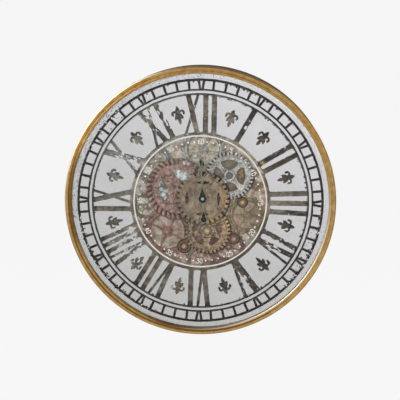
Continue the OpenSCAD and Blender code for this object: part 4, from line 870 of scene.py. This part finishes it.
# The washer on the lower shaft is coloured dark olive as painted shade round the nut.
dress(turned_metal("dark_shafts", (112, 100, 78), 0.35, 0.5, 0.5), "lower_shaft")
dress(hub_end(), "silver_shaft")
dress(ringed_washers(), "bolt_washers")
dress(turned_metal("zinc_plate", (168, 170, 172), 0.38), "board_screws", "bridge_screws", "bridge_plate",
      "bridge_pillars", "drive_motor", "motor_screws", "cover_screws", "hanger_plate", "hanger_screws",
      "movement_contacts", "battery_contacts")
dress(turned_metal("black_steel", (38, 40, 44), 0.4, 0.4, 0.6), "minute_hand", "hour_hand")

# %% [markdown]
# ## Painted highlights on the edges of the hands
# A thin light line along the edges of the hands is a painted highlight of their bevels. Each line is a narrow strip
# that follows the hand's outline a little inside it and lies a hair above its face.

# %% Edge strips
STRIP_STEP, STRIP_INSET, STRIP_WIDE, STRIP_LIFT = 0.002, 0.0001, 0.001, 0.00006


def face_depth(name):
    """The depth at which most of a node's forward face lies."""
    areas = {}
    for face in nodes[name].data.polygons:
        if face.normal.y < -0.99:
            depth = round(-face.center.y, 5)
            areas[depth] = areas.get(depth, 0) + face.area
    return max(areas, key=areas.get)


def edge_strip(name):
    """A band of quads along every outline of a node's forward face."""
    depth, verts, quads = face_depth(name), [], []
    for loop in flat_outlines(name, depth):
        steps = list(sided(paced(loop, STRIP_STEP)))
        first, count = len(verts), len(steps)
        for p, out in steps:
            for q in (p - out * STRIP_INSET, p - out * (STRIP_INSET + STRIP_WIDE)):
                verts.append((q.x, -depth - STRIP_LIFT, q.y))
        for k in range(count):
            here, after = first + 2 * k, first + 2 * ((k + 1) % count)
            quads.append((here, after, after + 1, here + 1))
    strip = bpy.data.meshes.new(name + "_edge")
    strip.from_pydata(verts, [], quads)
    return strip


# The light strips are a painted highlight along the hands' bevels.
edge_highlight_finish = turned_metal("rubbed_edge", (172, 166, 140), 0.4, 0.4, 0.5)
for name, body in (("minute_hand", "minute"), ("hour_hand", "hour")):
    strip = edge_strip(name)
    strip.materials.append(edge_highlight_finish)
    piece = bpy.data.objects.new(name + "_edge", strip)
    bpy.context.scene.collection.objects.link(piece)
    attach(piece, body)
    print(piece.name, len(strip.polygons), "faces, facing", round(strip.polygons[0].normal.y, 2))

# %% [markdown]
# ## Plastic, rubber and board at the back
# What lies behind is moulded plastic, rubber and painted metal: low in colour, with a fine grain that breaks the
# highlights. The case's paint is dull, so that it doesn't shine through the clear numerals.

# %% Quiet finishes
def moulded(name, tone, rough=0.5, grain=0.0008, depth=0.0001, vary=0.12, gloss=0.5):
    """`grain` and `depth` are the size and height of the grain, and `vary` is how far the colour wanders."""
    f = Finish(name)
    fine, patch = f.noise(grain, 2, 0.5), f.noise(0.02, 3)
    colour = f.mix(patch * vary * 2, tint(*tone), shade(tone, 0.6))
    return f.done(Base_Color=colour, Roughness=fine * 0.15 + rough, Specular_IOR_Level=gloss,
                  Normal=f.bump(fine, depth))


dress(moulded("black_plastic", (30, 30, 32)), "movement_case", "movement_lid", "battery_box", "switch_body")
dress(moulded("white_plastic", (222, 221, 216), 0.42), "switch_slider", "setting_knob", "hour_wheel")
dress(moulded("acetal", (208, 196, 168), 0.45), "centre_drive_wheel", "silver_drive_wheel", "lower_drive_wheel")
dress(moulded("rubber", (24, 24, 24), 0.75, 0.0014, 0.0002), "glass_gasket", "movement_washer", "wall_bumpers")
dress(moulded("circuit_green", (28, 92, 52), 0.4), "circuit_board")
dress(moulded("coil_wire", (150, 82, 42), 0.35), "drive_coil")
dress(moulded("cell_wrap", (92, 104, 70), 0.35), "movement_cell", "motor_cells")
dress(moulded("lead_red", (150, 36, 30), 0.45), "motor_leads")
dress(moulded("case_paint", (88, 74, 58), 0.6, 0.0012, 0.0002, 0.3, gloss=0.15), "drum", "drum_flange",
      "board_brackets")
dress(moulded("cover_board", (92, 72, 52), 0.7, 0.0015, 0.0003, 0.35), "back_cover")

# %% [markdown]
# ## Light
# A lamp far to the left gives the highlights along the frame, others in front light what lies behind the glass, and
# one lights the back. Only the first can be seen in metal, as the others would leave round spots there.

# %% Lamps
def lamp(name, place, size, power, mirrored=False):
    """A round lamp that points at the clock."""
    light = bpy.data.lights.new(name, "AREA")
    light.shape, light.size, light.energy = "DISK", size, power
    holder = bpy.data.objects.new(name, light)
    holder.visible_glossy = mirrored
    bpy.context.scene.collection.objects.link(holder)
    holder.matrix_world = Matrix.Translation(place) @ Vector(place).to_track_quat("Z", "Y").to_matrix().to_4x4()


lamp("side", (-2.7, -0.35, 1.75), 1.5, 22, mirrored=True)
lamp("key", (-1.9, -2.4, 1.3), 1.0, 30)
lamp("front", (-0.1, -3.2, 1.1), 1.4, 38)
lamp("fill", (2.2, -2.2, 0.3), 2.0, 8)
lamp("back", (0.6, 2.6, 1.6), 2.0, 16)
print(len(bpy.data.lights), "lamps")

# %% [markdown]
# ## Room
# The world gives an even light from all round, and to the camera it is a pale background. What metal mirrors is a
# third thing: a room that is brightest in front, darker overhead, with a bright window high on the left and a weak one
# on the right. Light Path tells the three kinds of ray apart.

# %% World
PALE, SOFT_LIGHT = tint(246, 246, 246), 0.55
world = bpy.data.worlds.new("studio")
bpy.context.scene.world = world
world.use_nodes = True
sky = Graph(world.node_tree)
rays = sky.add("ShaderNodeLightPath").outputs
ahead = sky.add("ShaderNodeSeparateXYZ", Vector=Value(sky.add("ShaderNodeTexCoord").outputs["Generated"]))
dx, dy, dz = (Value(ahead.outputs[i]) for i in range(3))
left_window = (dz * 0.55 - dx * 0.83).step(0.74, 0.94) * 3.0
right_window = (dz * 0.6 + dx * 0.75).step(0.8, 0.98) * 0.6
walls = dy.step(-0.3, -0.95) * 0.42 + 0.42 - dy.step(0.2, 0.9) * 0.15 - dz * 0.1
ceiling = 1 - dz.step(0.15, 0.6) * 0.45
level = walls * ceiling + (left_window + right_window)


def backdrop(colour, strength):
    return Value(sky.add("ShaderNodeBackground", Color=colour, Strength=strength).outputs[0])


clear = Value(rays["Is Camera Ray"]).high(Value(rays["Is Transmission Ray"]))
shown = sky.blend(clear, backdrop((1, 1, 1, 1), SOFT_LIGHT), backdrop(PALE, 1.0))
shown = sky.blend(Value(rays["Is Glossy Ray"]), shown, backdrop(PALE, level))
sky.add("ShaderNodeOutputWorld", Surface=shown)
print(world.name, "has", len(sky.tree.nodes), "nodes")

# %% [markdown]
# ## Floor
# The floor lies well below the clock. The camera sees it nearly as bright as the background, with a little of its own
# shading, and metal doesn't mirror it.

# %% Floor
FLOOR_WIDE, FLOOR_LEVEL = 120, -0.9
bpy.ops.mesh.primitive_plane_add(size=FLOOR_WIDE, location=(0, 0, FLOOR_LEVEL))
floor = bpy.context.object
floor.name = "floor"
f = Finish("pale_floor")
f.done(Base_Color=f.ramp(f.noise(0.5), (0.0, tint(246, 246, 246)), (1.0, tint(248, 248, 248))), Roughness=0.9)
glow = Value(f.add("ShaderNodeEmission", Color=PALE, Strength=1.02).outputs[0])
rays = f.add("ShaderNodeLightPath").outputs
seen = f.blend(Value(rays["Is Camera Ray"]) * 0.95, Value(f.shader.outputs[0]), glow)
clear = Value(f.add("ShaderNodeBsdfTransparent").outputs[0])
f.plug(f.surface, f.blend(Value(rays["Is Glossy Ray"]), seen, clear))
floor.data.materials.append(f.material)
print("floor at", FLOOR_LEVEL)

# %% [markdown]
# ## Nodes without a finish
# Every node must have a finish: the nodes without one are printed.

# %% Finish
print("without a finish:", sorted(set(nodes) - FINISHED))
